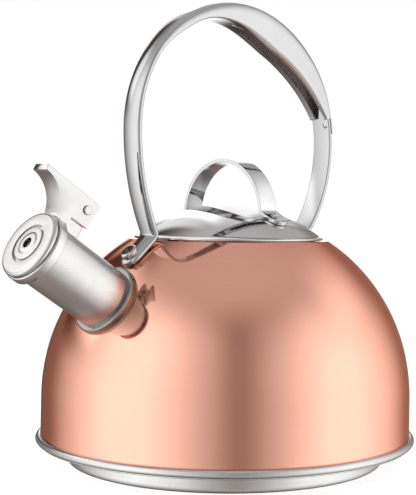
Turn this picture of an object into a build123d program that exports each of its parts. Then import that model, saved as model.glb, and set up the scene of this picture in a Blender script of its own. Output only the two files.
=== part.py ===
from build123d import *

import os
from math import acos, asin, cos, hypot, pi, radians, sin, sqrt

# Stovetop whistling kettle. Millimetres, +Z up, the spout towards -X.
# The origin is the middle of the base's underside, where the kettle rests.

# Kettle body
BODY_R = 95.0
BODY_WALL = 0.9
BASE_H = 10.0
SEAM_RISE = 2.4
WALL_H = 21.6
FLANGE = 1.2
PAN_WALL = 0.8
BEAD_R = 2.0
BEAD_OUT = 0.5

# Base disc
CAPSULE_R = 81.6
CAPSULE_WALL = 0.7
CAPSULE_EDGE_R = 3.0

# Mouth and lid
NECK_DEPTH = 8.0
LID_LAP = 3.9
LAND_MARGIN = 2.8
LID_RISE = 17.5
LID_WALL = 0.8
LID_RIM_BEAD_R = 0.8
LID_SEAT_GAP = 0.2
SKIRT_GAP = 0.6
SKIRT_WALL = 0.8
SKIRT_DEPTH = 9.0

# Lid strap
KNOB_R = 29.5
KNOB_RISE = 23.6
KNOB_W = 11.5
KNOB_EDGE = 1.5
KNOB_CROWN = 2.0
KNOB_BEND_R = 3.5
KNOB_FOOT_OUT = 5.0
RIVET_R = 1.5
RIVET_HEAD_R = 2.4
RIVET_HEAD_H = 0.6
HOLE_GAP = 0.02

# Spout
SPOUT_TILT = 32.1
SPOUT_AXIS_RISE = 1.0
SPOUT_R = 15.0
SPOUT_WALL = 1.0
SPOUT_LENGTH = 47.3
SPOUT_TUCK = 1.5
COLLAR_WIDTH = 2.6
COLLAR_H = 3.4
COLLAR_EDGE_R = 1.0

# Whistle
CAP_GAP = 0.9
BAND_WALL = 1.4
BAND_LAP = 2.4
BAND_FRONT = 2.3
BAND_EDGE_R = 0.8
PLATE_GAP = 0.3
PLATE_T = 0.8
PLATE_HOLE_R = 1.9
FACE_R = 16.7
FACE_GAP = 0.9
FACE_OUT = 3.0
FACE_EDGE_R = 1.7
FACE_WALL = 1.8
RING_R = 9.6
RING_W = 1.1
RING_DEPTH = 1.2
RING_BREAK = 0.4
HUB_R = 5.0
HUB_SLOPE = 0.8
HUB_OUT = 0.5
WHISTLE_HOLE_R = 2.5

# Trigger lever
LEVER_W = 11.0
LEVER_SIDE = 1.3
LEVER_WALL = 1.5
LEVER_FLOOR = 1.3
LEVER_TOP = 16.6
LEVER_REAR = 5.3
LEVER_HEEL = 3.8
LEVER_CORNER_R = 2.0
NOTCH_H = 3.2
NOTCH_AHEAD = 6.4
TIP_AHEAD = 29.3
TIP_T = 3.0
TIP_LIP = 4.0
FINGER_R = 16.4
TOE_AHEAD = 13.1

# Hinge
PIN_BACK = 11.3
PIN_RISE = 10.7
PIN_R = 1.6
PIN_HEAD_R = 2.3
PIN_HEAD_H = 0.8
PIN_RUN = 0.05
SIDE_RUN = 0.2
EAR_R = 3.2
EAR_T = 1.4
LUG_FRONT = 6.0
LUG_BASE_H = 2.4
LUG_STEP_H = 2.6

# Return spring
SPRING_R = 2.45
WIRE_R = 0.3
SPRING_PITCH = 1.12
SPRING_TURNS = 2
SPRING_REST = 0.3

# Handle strap
STRAP_W = 12.5
STRAP_EDGE = 2.9
STRAP_CROWN = 3.6
FOOT_BEND_R = 4.6
FOOT_GAP = 1.8
FOOT_OUT = 14.0
FRONT_OUT = 18.4
FRONT_RISE = 56.2
FRONT_LEG_R = 121.5
FRONT_FULLNESS = 0.98
REAR_OUT = 25.1
REAR_RISE = 52.4
REAR_LEG_R = 77.9
REAR_FULLNESS = 0.808
APEX_X = 3.3
HANDLE_RISE = 123.0

# Handle grip
GRIP_AHEAD = 66.0
GRIP_BEHIND = 90.5
GRIP_WALL = 1.0
GRIP_END_WALL = 0.5
GRIP_FIT = 0.1
GRIP_FLARE = 0.5
GRIP_LIP = 1.6
GRIP_DEPTH = 14.6
GRIP_SWELL = (0.19, 0.63)
GRIP_FALL = (0.7, 1.04)
GRIP_BACK_R = 1.4
GRIP_LIP_R = 3.0
GRIP_STATIONS = 17
HOLLOW = (0.27, 0.94)
SLIT_START = 0.4
SLIT_W = 6.0
TONGUE = 9.0
TONGUE_RIVET = 4.2
TONGUE_RIVET_SIDE = 3.5
GRIP_RIVET_R = 1.2
GRIP_RIVET_HEAD_R = 1.7
GRIP_RIVET_HEAD_H = 0.6

# Handle fasteners
SCREW_R = 2.5
SCREW_HEAD_R = 4.4
SCREW_HEAD_H = 2.6
SCREW_EDGE_R = 1.2
SCREW_SEAT = 0.6
RECESS_W = 1.3
RECESS_L = 5.2
RECESS_DEPTH = 1.3
SCREW_HOLE_GAP = 0.15
WASHER_R = 6.0
WASHER_T = 1.0
NUT_AF = 8.0
NUT_H = 4.0
SCREW_PAST_NUT = 1.5

# Levels and radii that follow from the sizes above
FLOOR_Z = BASE_H
SEAM_Z = FLOOR_Z + SEAM_RISE
DOME_Z = SEAM_Z + WALL_H
INNER_R = BODY_R - BODY_WALL

# Planes: the plane of symmetry, the lid strap's plane and the spout's plane
SIDE = Plane.XZ
ACROSS = Plane.YZ
TILT = radians(SPOUT_TILT)
SPOUT_BASE = Vector(0, 0, DOME_Z + SPOUT_AXIS_RISE)
SPOUT_DIR = Vector(-cos(TILT), 0, sin(TILT))
SPOUT = Plane(origin=SPOUT_BASE, x_dir=SPOUT_DIR, z_dir=(0, 1, 0))
SPOUT_AXIS = Axis(SPOUT_BASE, SPOUT_DIR)

# Places along the spout, from the kettle's axis, and heights from the spout's axis
SPOUT_OFF = SPOUT_AXIS_RISE * cos(TILT)
SPOUT_NEAR = -SPOUT_AXIS_RISE * sin(TILT)
ROOT_S = SPOUT_NEAR + sqrt(BODY_R**2 - SPOUT_OFF**2)
TUBE_END_S = ROOT_S + SPOUT_LENGTH
COLLAR_R = SPOUT_R + COLLAR_WIDTH
COLLAR_S = SPOUT_NEAR + sqrt(BODY_R**2 - (COLLAR_R - SPOUT_OFF) ** 2) + COLLAR_H
COLLAR_SPREAD = asin((COLLAR_R + SPOUT_OFF) / BODY_R)
CAP_BORE_R = SPOUT_R + CAP_GAP
CAP_R = CAP_BORE_R + BAND_WALL
BAND_REAR_S = TUBE_END_S - BAND_LAP
BAND_FRONT_S = TUBE_END_S + BAND_FRONT
PLATE_S = TUBE_END_S + PLATE_GAP
FACE_REAR_S = PLATE_S + PLATE_T
FACE_S = BAND_FRONT_S + FACE_OUT
PIN_S = TUBE_END_S - PIN_BACK
PIN_H = CAP_R + PIN_RISE
LUG_W = LEVER_W - 2 * LEVER_SIDE - 2 * SIDE_RUN
FINGER_TOE = (PIN_S + TOE_AHEAD, SPOUT_R)
FINGER_TIP = (PIN_S + TIP_AHEAD, CAP_R + LEVER_TOP - TIP_T)

# The front foot stands just above the spout's collar, and the lid fits between the feet
FOOT_ANGLE = TILT + COLLAR_SPREAD + (FOOT_GAP + STRAP_W / 2) / BODY_R
FOOT_X = BODY_R * cos(FOOT_ANGLE)
LID_R = FOOT_X - FOOT_OUT
MOUTH_R = LID_R - LID_LAP
LAND_R = LID_R + LAND_MARGIN
LAND_Z = DOME_Z + sqrt(BODY_R**2 - LAND_R**2)
LID_EDGE_Z = LAND_Z + LID_SEAT_GAP + LID_RIM_BEAD_R
LID_DOME_R = (LID_R**2 + LID_RISE**2) / (2 * LID_RISE)
LID_DOME_Z = LID_EDGE_Z + LID_RISE - LID_DOME_R


def outline(start, *steps):
    """Closed flat face: each step is a point, or a pair (through, end) for an arc."""
    edges = []
    here = start
    for step in steps:
        if isinstance(step[0], tuple):
            through, there = step
            edges.append(ThreePointArc(here, through, there))
        else:
            there = step
            edges.append(Line(here, there))
        here = there
    if here != start:
        edges.append(Line(here, start))
    return make_face(edges)


def on_circle(centre, radius, a, b):
    """Point of a circle halfway between two of its points, by the shorter way."""
    mid = ((a[0] + b[0]) / 2 - centre[0], (a[1] + b[1]) / 2 - centre[1])
    scale = radius / hypot(*mid)
    return (centre[0] + mid[0] * scale, centre[1] + mid[1] * scale)


def lathe(face, plane=SIDE, axis=Axis.Z):
    """Solid turned from a face on a plane."""
    return revolve(plane * face, axis=axis, revolution_arc=360)


def along_spout(face):
    """Solid turned about the spout's axis, from places along it and radii."""
    return lathe(face, SPOUT, SPOUT_AXIS)


def rod(plane, radius, low, high):
    """Round rod along a plane's normal, between two distances from the plane."""
    return plane * Pos(0, 0, (low + high) / 2) * Cylinder(radius, high - low)


def block(plane, x_span, y_span, z_span):
    """Block on a plane, between two distances along each of its axes."""
    spans = (x_span, y_span, z_span)
    middle = [(low + high) / 2 for low, high in spans]
    lengths = [high - low for low, high in spans]
    return plane * Pos(*middle) * Box(*lengths)


def ball(radius, height):
    """Ball on the kettle's axis."""
    return Pos(0, 0, height) * Sphere(radius)


def strap_section(width, edge, crown, gap=0.0):
    """Section of a strap: flat inner face, crowned outer face, with a gap all round."""
    half = width / 2 + gap
    return outline(
        (-half, -gap), (half, -gap), (half, edge + gap), ((0, crown + gap), (-half, edge + gap))
    )


def strap_path(plane, steps):
    """Wire on a plane through points, with (through, end) pairs for arcs."""
    edges = []
    here = steps[0]
    for step in steps[1:]:
        if isinstance(step[0], tuple):
            through, there = step
            edges.append(plane * ThreePointArc(here, through, there))
        else:
            there = step
            edges.append(plane * Line(here, there))
        here = there
    return Wire(edges)


def reversed_steps(steps):
    """The same line, walked from its other end."""
    points = [step[1] if isinstance(step[0], tuple) else step for step in steps]
    turned = [points[-1]]
    for index in range(len(steps) - 1, 0, -1):
        step = steps[index]
        there = points[index - 1]
        turned.append((step[0], there) if isinstance(step[0], tuple) else there)
    return turned


def mirrored(steps):
    """The same line on the other side of the kettle's axis."""
    turned = []
    for step in steps:
        if isinstance(step[0], tuple):
            turned.append(tuple((-x, z) for x, z in step))
        else:
            turned.append((-step[0], step[1]))
    return turned


def foot_frame(dome_r, dome_z, foot_x, sign, across=False):
    """Plane on a dome where a foot is fastened: normal outwards, x_dir down the slope."""
    up = sqrt(dome_r**2 - foot_x**2)
    normal = Vector(sign * foot_x / dome_r, 0, up / dome_r)
    slope = Vector(sign * up / dome_r, 0, -foot_x / dome_r)
    origin = Vector(sign * foot_x, 0, dome_z + up)
    if across:
        normal, slope, origin = [Vector(0, v.X, v.Z) for v in (normal, slope, origin)]
    return Plane(origin=origin, x_dir=slope, z_dir=normal)


def foot_steps(dome_r, dome_z, foot_x, half_width, bend_r, leg_centre, leg_r):
    """A strap's inner line from the end of its foot to where its leg begins.

    The foot lies on the dome's tangent at foot_x, and the bend is tangent to the foot and
    to the leg's circle.
    """
    up = sqrt(dome_r**2 - foot_x**2)
    normal = (foot_x / dome_r, up / dome_r)
    slope = (up / dome_r, -foot_x / dome_r)
    place = (foot_x, dome_z + up)
    away = (
        place[0] + normal[0] * bend_r - leg_centre[0],
        place[1] + normal[1] * bend_r - leg_centre[1],
    )
    half = away[0] * slope[0] + away[1] * slope[1]
    reach = sqrt(half**2 - away[0] ** 2 - away[1] ** 2 + (leg_r + bend_r) ** 2)
    back = reach - half
    end = (place[0] + slope[0] * half_width, place[1] + slope[1] * half_width)
    bend_start = (place[0] + slope[0] * back, place[1] + slope[1] * back)
    bend_centre = (bend_start[0] + normal[0] * bend_r, bend_start[1] + normal[1] * bend_r)
    share = leg_r / (leg_r + bend_r)
    bend_end = (
        leg_centre[0] + (bend_centre[0] - leg_centre[0]) * share,
        leg_centre[1] + (bend_centre[1] - leg_centre[1]) * share,
    )
    through = on_circle(bend_centre, bend_r, bend_start, bend_end)
    return [end, bend_start, (through, bend_end)]


def half_arch(reach, widest_z, leg_r, fullness, apex_x, top_z):
    """The handle's inner line from one foot up to the apex, on the side of positive x.

    Above its widest point the line is two arcs. The tighter one is at the shorter way,
    and fullness is its radius as a share of that way.
    """
    leg_centre = (reach - leg_r, widest_z)
    steps = foot_steps(BODY_R, DOME_Z, FOOT_X, STRAP_W / 2, FOOT_BEND_R, leg_centre, leg_r)
    bend_end = steps[-1][1]
    widest = (reach, widest_z)
    steps.append((on_circle(leg_centre, leg_r, bend_end, widest), widest))
    across = reach - apex_x
    rise = top_z - widest_z
    span = across**2 + rise**2
    if across < rise:
        top_r = fullness * across
        side_r = (span - 2 * rise * top_r) / (2 * (across - top_r))
    else:
        side_r = fullness * rise
        top_r = (span - 2 * across * side_r) / (2 * (rise - side_r))
    side_centre = (reach - side_r, widest_z)
    top_centre = (apex_x, top_z - top_r)
    share = side_r / (side_r - top_r)
    join = (
        side_centre[0] + (top_centre[0] - side_centre[0]) * share,
        side_centre[1] + (top_centre[1] - side_centre[1]) * share,
    )
    apex = (apex_x, top_z)
    steps.append((on_circle(side_centre, side_r, widest, join), join))
    steps.append((on_circle(top_centre, top_r, join, apex), apex))
    return steps


def round_foot_end(plane, half_width, height):
    """What is cut away so that a foot ends in a half circle about its fastener."""
    span = (0, 2 * half_width)
    wide = (-2 * half_width, 2 * half_width)
    corner = block(plane, span, wide, (-height, height))
    return corner - rod(plane, half_width, -2 * height, 2 * height)


# Kettle body and base


def make_body_shell():
    """Dome with a flange at its foot, a flat land round the mouth and a neck."""
    land_in_z = LAND_Z - BODY_WALL
    land_in_r = sqrt(INNER_R**2 - (land_in_z - DOME_Z) ** 2)
    centre = (0, DOME_Z)
    foot_z = SEAM_Z - BODY_WALL / 2
    flange_z = SEAM_Z + BODY_WALL / 2
    outer_foot = (BODY_R, DOME_Z)
    outer_top = (LAND_R, LAND_Z)
    inner_top = (land_in_r, land_in_z)
    inner_foot = (INNER_R, DOME_Z)
    profile = outline(
        (INNER_R, foot_z),
        (BODY_R + FLANGE, foot_z),
        (BODY_R + FLANGE, flange_z),
        (BODY_R, flange_z),
        outer_foot,
        (on_circle(centre, BODY_R, outer_foot, outer_top), outer_top),
        (MOUTH_R, LAND_Z),
        (MOUTH_R, LAND_Z - NECK_DEPTH),
        (MOUTH_R + BODY_WALL, LAND_Z - NECK_DEPTH),
        (MOUTH_R + BODY_WALL, land_in_z),
        inner_top,
        (on_circle(centre, INNER_R, inner_top, inner_foot), inner_foot),
    )
    shell = lathe(profile)
    shell -= along_spout(outline((ROOT_S / 2, 0), (COLLAR_S, 0), (COLLAR_S, SPOUT_R), (ROOT_S / 2, SPOUT_R)))
    for plane in FOOT_PLANES:
        shell -= rod(plane, SCREW_R + SCREW_HOLE_GAP, -3 * BODY_WALL, BODY_WALL)
    return shell


def make_base_pan(shell):
    """Floor of the kettle, with its rim rolled round the dome's flange."""
    floor = Pos(BODY_R / 2, FLOOR_Z + PAN_WALL / 2) * Rectangle(BODY_R, PAN_WALL)
    bead = Pos(BODY_R + BEAD_OUT, SEAM_Z) * Circle(BEAD_R)
    return lathe(floor + bead) - shell


def make_disc(radius, low, edge_r):
    """Disc under the kettle's floor, with a rounded lower edge."""
    arc_centre = (radius - edge_r, low + edge_r)
    start = (radius - edge_r, low)
    end = (radius, low + edge_r)
    profile = outline(
        (0, low), start, (on_circle(arc_centre, edge_r, start, end), end), (radius, FLOOR_Z), (0, FLOOR_Z)
    )
    return lathe(profile)


def make_base():
    """Heat disc and the steel cup round it."""
    core = make_disc(CAPSULE_R - CAPSULE_WALL, CAPSULE_WALL, CAPSULE_EDGE_R - CAPSULE_WALL)
    return core, make_disc(CAPSULE_R, 0, CAPSULE_EDGE_R) - core


# Spout


def make_spout_tube():
    """Round tube, trimmed just inside the dome."""
    bore_r = SPOUT_R - SPOUT_WALL
    half = ROOT_S / 2
    tube = along_spout(outline((half, bore_r), (TUBE_END_S, bore_r), (TUBE_END_S, SPOUT_R), (half, SPOUT_R)))
    return tube - ball(INNER_R - SPOUT_TUCK, DOME_Z)


def make_spout_collar():
    """Trim ring round the spout's root, seated on the dome."""
    shoulder = COLLAR_S - COLLAR_EDGE_R
    inset = COLLAR_R - COLLAR_EDGE_R
    start = (COLLAR_S, inset)
    end = (shoulder, COLLAR_R)
    arc = (on_circle((shoulder, inset), COLLAR_EDGE_R, start, end), end)
    half = ROOT_S / 2
    ring = along_spout(outline((half, SPOUT_R), (COLLAR_S, SPOUT_R), start, arc, (half, COLLAR_R)))
    return ring - ball(BODY_R, DOME_Z)


# Trigger hinge


def make_hinge_bracket():
    """Lug saddled on the spout, with two ears for the pin and room for the spring."""
    rear = PIN_S - EAR_R
    front = PIN_S + LUG_FRONT
    step_h = CAP_R + LUG_STEP_H
    eye = (PIN_S, PIN_H)
    reach = hypot(front - PIN_S, PIN_H - step_h)
    lean = acos(EAR_R / reach) - asin((PIN_H - step_h) / reach)
    touch = (PIN_S + EAR_R * cos(lean), PIN_H + EAR_R * sin(lean))
    top = (PIN_S, PIN_H + EAR_R)
    rear_eye = (rear, PIN_H)
    profile = outline(
        (rear, 0),
        (front, 0),
        (front, step_h),
        touch,
        (on_circle(eye, EAR_R, touch, top), top),
        (on_circle(eye, EAR_R, top, rear_eye), rear_eye),
        (rear, step_h),
    )
    bracket = SPOUT * extrude(profile, amount=LUG_W / 2, both=True)
    bracket -= along_spout(outline((0, 0), (TUBE_END_S, 0), (TUBE_END_S, SPOUT_R), (0, SPOUT_R)))
    slot = LUG_W / 2 - EAR_T
    floor = SPOUT_R + LUG_BASE_H
    bracket -= block(SPOUT, (0, TUBE_END_S), (floor, 2 * PIN_H), (-slot, slot))
    return bracket - rod(PIN_PLANE, PIN_R + HOLE_GAP, -LUG_W, LUG_W)


def make_hinge_pin():
    """Rivet with a flat head outside each side of the lever."""
    head = LEVER_W / 2 + SIDE_RUN
    pin = rod(PIN_PLANE, PIN_R, -head, head)
    for low in (head, -head - PIN_HEAD_H):
        pin += rod(PIN_PLANE, PIN_HEAD_R, low, low + PIN_HEAD_H)
    return pin


def biarc(start, start_dir, end, end_dir):
    """Two tangent arcs between two points with given directions."""
    chord = end - start
    both = start_dir + end_dir
    bend = 2 * (1 - start_dir.dot(end_dir))
    lean = chord.dot(both)
    reach = (sqrt(lean**2 + bend * chord.dot(chord)) - lean) / bend
    middle = (start + end + (start_dir - end_dir) * reach) * 0.5
    middle_dir = (end - end_dir * reach) - (start + start_dir * reach)
    return [
        TangentArc(start, middle, tangent=start_dir),
        TangentArc(middle, end, tangent=middle_dir.normalized()),
    ]


def spring_steps():
    """Points of the coil each quarter turn, with the wire's direction at each."""
    quarters = 4 * SPRING_TURNS + 3
    rise = SPRING_PITCH / 4
    steps = []
    for index in range(quarters + 1):
        angle = -pi / 2 - index * pi / 2
        across = (index - quarters / 2) * rise
        place = (PIN_S + SPRING_R * cos(angle), PIN_H + SPRING_R * sin(angle), across)
        inner = 0 < index < quarters
        climb = SPRING_PITCH / (2 * pi * SPRING_R) if inner else 0
        way = Vector(sin(angle), -cos(angle), climb).normalized()
        steps.append((Vector(*place), way))
    return steps


def make_return_spring():
    """Torsion spring: one leg on the lever's front wall, the other on the bracket."""
    steps = spring_steps()
    first, first_dir = steps[0]
    last, last_dir = steps[-1]
    wall_r = FINGER_R + LEVER_WALL
    wall_s = FINGER_CENTRE[0] - sqrt(wall_r**2 - (first.Y - FINGER_CENTRE[1]) ** 2)
    front = Vector(wall_s - SPRING_REST - WIRE_R, first.Y, first.Z)
    foot = Vector(last.X, SPOUT_R + LUG_BASE_H + SPRING_REST, last.Z)
    edges = [Line(front, first)]
    for (start, start_dir), (end, end_dir) in zip(steps, steps[1:]):
        edges += biarc(start, start_dir, end, end_dir)
    edges.append(Line(last, foot))
    path = Wire(edges)
    section = Plane(origin=front, z_dir=first_dir) * Circle(WIRE_R)
    print("spring: least gap between turns", round(coil_gap(path), 2))
    return SPOUT * sweep(section, path=path)


def coil_gap(path):
    """Least gap of the wire to itself, measured on points of its middle line."""
    count = 400
    points = [path.position_at(index / count) for index in range(count + 1)]
    spacing = path.length / count
    skip = int(pi * SPRING_R / spacing)
    gaps = []
    for index, point in enumerate(points):
        for other in points[index + skip :]:
            gaps.append((point - other).length)
    return min(gaps) - 2 * WIRE_R


# Whistle


def finger_centre():
    """Centre of the hollow finger face, ahead of the lever."""
    run = (FINGER_TIP[0] - FINGER_TOE[0], FINGER_TIP[1] - FINGER_TOE[1])
    chord = hypot(*run)
    ahead = sqrt(FINGER_R**2 - chord**2 / 4) / chord
    middle = ((FINGER_TIP[0] + FINGER_TOE[0]) / 2, (FINGER_TIP[1] + FINGER_TOE[1]) / 2)
    return (middle[0] + run[1] * ahead, middle[1] - run[0] * ahead)


def make_trigger_lever():
    """Folded lever: hollow finger face, two side plates, and a floor on the band."""
    top = CAP_R + LEVER_TOP
    notch = CAP_R + NOTCH_H
    heel = PIN_S - LEVER_HEEL
    rear = PIN_S - LEVER_REAR
    notch_s = PIN_S + NOTCH_AHEAD
    tip_s = FINGER_TIP[0]
    profile = outline(
        (tip_s, top),
        (rear, top),
        (heel, notch),
        (notch_s, notch),
        (notch_s, SPOUT_R),
        FINGER_TOE,
        (on_circle(FINGER_CENTRE, FINGER_R, FINGER_TOE, FINGER_TIP), FINGER_TIP),
    )
    corner = profile.vertices().sort_by(Axis.X)[0]
    profile = fillet(corner, LEVER_CORNER_R)
    lever = SPOUT * extrude(profile, amount=LEVER_W / 2, both=True)
    lever -= along_spout(outline((0, 0), (tip_s, 0), (tip_s, CAP_R), (0, CAP_R)))
    inside = LEVER_W / 2 - LEVER_SIDE
    floor = CAP_R + LEVER_FLOOR
    hollow = block(SPOUT, (0, tip_s - TIP_LIP), (floor, 2 * top), (-inside, inside))
    finger = Plane(origin=SPOUT.from_local_coords((*FINGER_CENTRE, 0)), z_dir=(0, 1, 0))
    hollow -= rod(finger, FINGER_R + LEVER_WALL, -LEVER_W, LEVER_W)
    lever -= hollow
    return lever - rod(PIN_PLANE, PIN_R + PIN_RUN, -LEVER_W, LEVER_W)


def make_whistle_band():
    """Ring over the spout's end, with a rounded front edge."""
    inset = CAP_R - BAND_EDGE_R
    shoulder = BAND_FRONT_S - BAND_EDGE_R
    start = (BAND_FRONT_S, inset)
    end = (shoulder, CAP_R)
    arc = (on_circle((shoulder, inset), BAND_EDGE_R, start, end), end)
    profile = outline((BAND_REAR_S, CAP_BORE_R), (BAND_FRONT_S, CAP_BORE_R), start, arc, (BAND_REAR_S, CAP_R))
    return along_spout(profile)


def make_whistle_face():
    """Front disc standing off the band: rounded edge, ring groove, boss with the hole, hollow behind."""
    flange_s = BAND_FRONT_S + FACE_GAP
    shoulder = FACE_S - FACE_EDGE_R
    inset = FACE_R - FACE_EDGE_R
    start = (shoulder, FACE_R)
    end = (FACE_S, inset)
    groove_s = FACE_S - RING_DEPTH
    boss_r = RING_R - RING_W
    hub_s = FACE_S + HUB_OUT
    back_s = groove_s - FACE_WALL
    profile = outline(
        (FACE_REAR_S, boss_r),
        (FACE_REAR_S, CAP_BORE_R),
        (flange_s, CAP_BORE_R),
        (flange_s, FACE_R),
        start,
        (on_circle((shoulder, inset), FACE_EDGE_R, start, end), end),
        (FACE_S, RING_R),
        (groove_s, RING_R),
        (groove_s, boss_r),
        (FACE_S - RING_BREAK, boss_r),
        (FACE_S, boss_r - RING_BREAK),
        (FACE_S, HUB_R + HUB_SLOPE),
        (hub_s, HUB_R),
        (hub_s, WHISTLE_HOLE_R),
        (back_s, WHISTLE_HOLE_R),
        (back_s, boss_r),
    )
    return along_spout(profile)


def make_whistle_plate():
    """Inner plate of the whistle, with its own hole."""
    return along_spout(
        outline(
            (PLATE_S, PLATE_HOLE_R), (PLATE_S, CAP_BORE_R), (FACE_REAR_S, CAP_BORE_R), (FACE_REAR_S, PLATE_HOLE_R)
        )
    )


# Lid


def make_lid_shell():
    """Low dome with a rolled rim."""
    inner = LID_DOME_R - LID_WALL
    centre = (0, LID_DOME_Z)
    bead_r = LID_R - LID_RIM_BEAD_R
    edge = (bead_r, LID_DOME_Z + sqrt(LID_DOME_R**2 - bead_r**2))
    under = (bead_r, LID_DOME_Z + sqrt(inner**2 - bead_r**2))
    top = (0, LID_DOME_Z + LID_DOME_R)
    top_under = (0, LID_DOME_Z + inner)
    dome = outline(
        under,
        edge,
        (on_circle(centre, LID_DOME_R, edge, top), top),
        top_under,
        (on_circle(centre, inner, top_under, under), under),
    )
    bead = Pos(bead_r, LID_EDGE_Z) * Circle(LID_RIM_BEAD_R)
    shell = lathe(dome + bead)
    for plane in KNOB_PLANES:
        shell -= rod(plane, RIVET_R + HOLE_GAP, -3 * LID_WALL, LID_WALL)
    return shell


def make_lid_skirt():
    """Ring under the lid that centres it in the mouth."""
    outer = MOUTH_R - SKIRT_GAP
    low = LAND_Z - SKIRT_DEPTH
    high = LID_DOME_Z + LID_DOME_R
    ring = lathe(outline((outer - SKIRT_WALL, low), (outer, low), (outer, high), (outer - SKIRT_WALL, high)))
    return ring & ball(LID_DOME_R - LID_WALL, LID_DOME_Z)


def make_lid_strap():
    """Half-round strap knob, with a turned-out foot at each end."""
    arch_r = KNOB_R - KNOB_CROWN
    centre = (0, KNOB_Z)
    half_w = KNOB_W / 2
    right = foot_steps(LID_DOME_R, LID_DOME_Z, KNOB_FOOT_X, half_w, KNOB_BEND_R, centre, arch_r)
    apex = (0, KNOB_Z + arch_r)
    right.append((on_circle(centre, arch_r, right[-1][1], apex), apex))
    steps = mirrored(right) + reversed_steps(right)[1:]
    path = strap_path(ACROSS, steps)
    section = strap_section(KNOB_W, KNOB_EDGE, KNOB_CROWN)
    start = Plane(origin=path @ 0, x_dir=(-1, 0, 0), z_dir=path % 0)
    strap = sweep(start * section, path=path)
    for plane in KNOB_PLANES:
        strap -= round_foot_end(plane, half_w, KNOB_W)
        strap -= rod(plane, RIVET_R + HOLE_GAP, -LID_WALL, 2 * KNOB_CROWN)
    return strap


def make_lid_rivets():
    """Rivet through each foot of the strap and the lid below it."""
    tail = LID_DOME_R - sqrt((LID_DOME_R - LID_WALL) ** 2 - RIVET_HEAD_R**2) + HOLE_GAP
    rivets = []
    for plane in KNOB_PLANES:
        rivet = rod(plane, RIVET_R, -tail, KNOB_CROWN)
        rivet += rod(plane, RIVET_HEAD_R, KNOB_CROWN, KNOB_CROWN + RIVET_HEAD_H)
        rivet += rod(plane, RIVET_HEAD_R, -tail - RIVET_HEAD_H, -tail)
        rivets.append(rivet)
    return rivets


# Handle


def handle_path():
    """Inner line of the strap from the front foot to the rear foot, and its length to the apex."""
    top_z = LAND_Z + HANDLE_RISE - STRAP_CROWN
    front_x = LID_R + FRONT_OUT - STRAP_CROWN
    rear_x = LID_R + REAR_OUT - STRAP_CROWN
    front = half_arch(front_x, LAND_Z + FRONT_RISE, FRONT_LEG_R, FRONT_FULLNESS, -APEX_X, top_z)
    rear = half_arch(rear_x, LAND_Z + REAR_RISE, REAR_LEG_R, REAR_FULLNESS, APEX_X, top_z)
    front_wire = strap_path(SIDE, mirrored(front))
    path = strap_path(SIDE, mirrored(front) + reversed_steps(rear)[1:])
    return path, front_wire.length


def strap_frame(distance):
    """Plane across the strap: its x across the strap, its y outwards from the inner face."""
    place = HANDLE_PATH.position_at(distance, position_mode=PositionMode.LENGTH)
    way = HANDLE_PATH.tangent_at(distance, position_mode=PositionMode.LENGTH)
    return Plane(origin=place, x_dir=(0, 1, 0), z_dir=way)


def make_handle_strap():
    """The arch from foot to foot, with a seat for each screw and a rivet hole."""
    section = strap_section(STRAP_W, STRAP_EDGE, STRAP_CROWN)
    strap = sweep(strap_frame(0) * section, path=HANDLE_PATH)
    for plane in FOOT_PLANES:
        strap -= round_foot_end(plane, STRAP_W / 2, STRAP_W)
        strap -= rod(plane, SCREW_R + SCREW_HOLE_GAP, -STRAP_CROWN, 2 * STRAP_CROWN)
        strap -= rod(plane, SCREW_HEAD_R + SCREW_HOLE_GAP, STRAP_CROWN - SCREW_SEAT, 2 * STRAP_CROWN)
    return strap - rod(GRIP_RIVET_PLANE, GRIP_RIVET_R + HOLE_GAP, -STRAP_CROWN, 3 * STRAP_CROWN)


def ease(share):
    """Smooth rise from 0 to 1."""
    return 0.5 - 0.5 * cos(pi * min(max(share, 0.0), 1.0))


def grip_wall(share):
    """Thickness of the grip's skin, thin at both ends."""
    rise = ease(share / GRIP_SWELL[0]) * (1 - ease((share - GRIP_FALL[0]) / (1 - GRIP_FALL[0])))
    return GRIP_END_WALL + (GRIP_WALL - GRIP_END_WALL) * rise


def grip_under(share):
    """How far the grip reaches below the strap's inner face at a share of its length."""
    swell = ease((share - GRIP_SWELL[0]) / (GRIP_SWELL[1] - GRIP_SWELL[0]))
    fall = ease((share - GRIP_FALL[0]) / (GRIP_FALL[1] - GRIP_FALL[0]))
    return (GRIP_LIP + (GRIP_DEPTH - GRIP_LIP) * swell) * (1 - fall)


def grip_width(share):
    """Width of the grip at a share of its length."""
    flare = GRIP_FLARE * grip_under(share) / GRIP_DEPTH
    return STRAP_W + 2 * (GRIP_FIT + grip_wall(share) + flare)


def grip_frame(share):
    """Plane across the strap at a share of the grip's length."""
    return strap_frame(APEX_AT - GRIP_AHEAD + share * (GRIP_AHEAD + GRIP_BEHIND))


def grip_section(width, back, depth, back_r, lip_r):
    """Section of the grip: rounded towards the back, small corners on the underside."""
    half = width / 2
    low = back - depth
    cut = 1 - sqrt(0.5)
    return outline(
        (-half + lip_r, low),
        (half - lip_r, low),
        ((half - lip_r * cut, low + lip_r * cut), (half, low + lip_r)),
        (half, back - back_r),
        ((half - back_r * cut, back - back_r * cut), (half - back_r, back)),
        (-half + back_r, back),
        ((-half + back_r * cut, back - back_r * cut), (-half, back - back_r)),
        (-half, low + lip_r),
        ((-half + lip_r * cut, low + lip_r * cut), (-half + lip_r, low)),
    )


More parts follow.
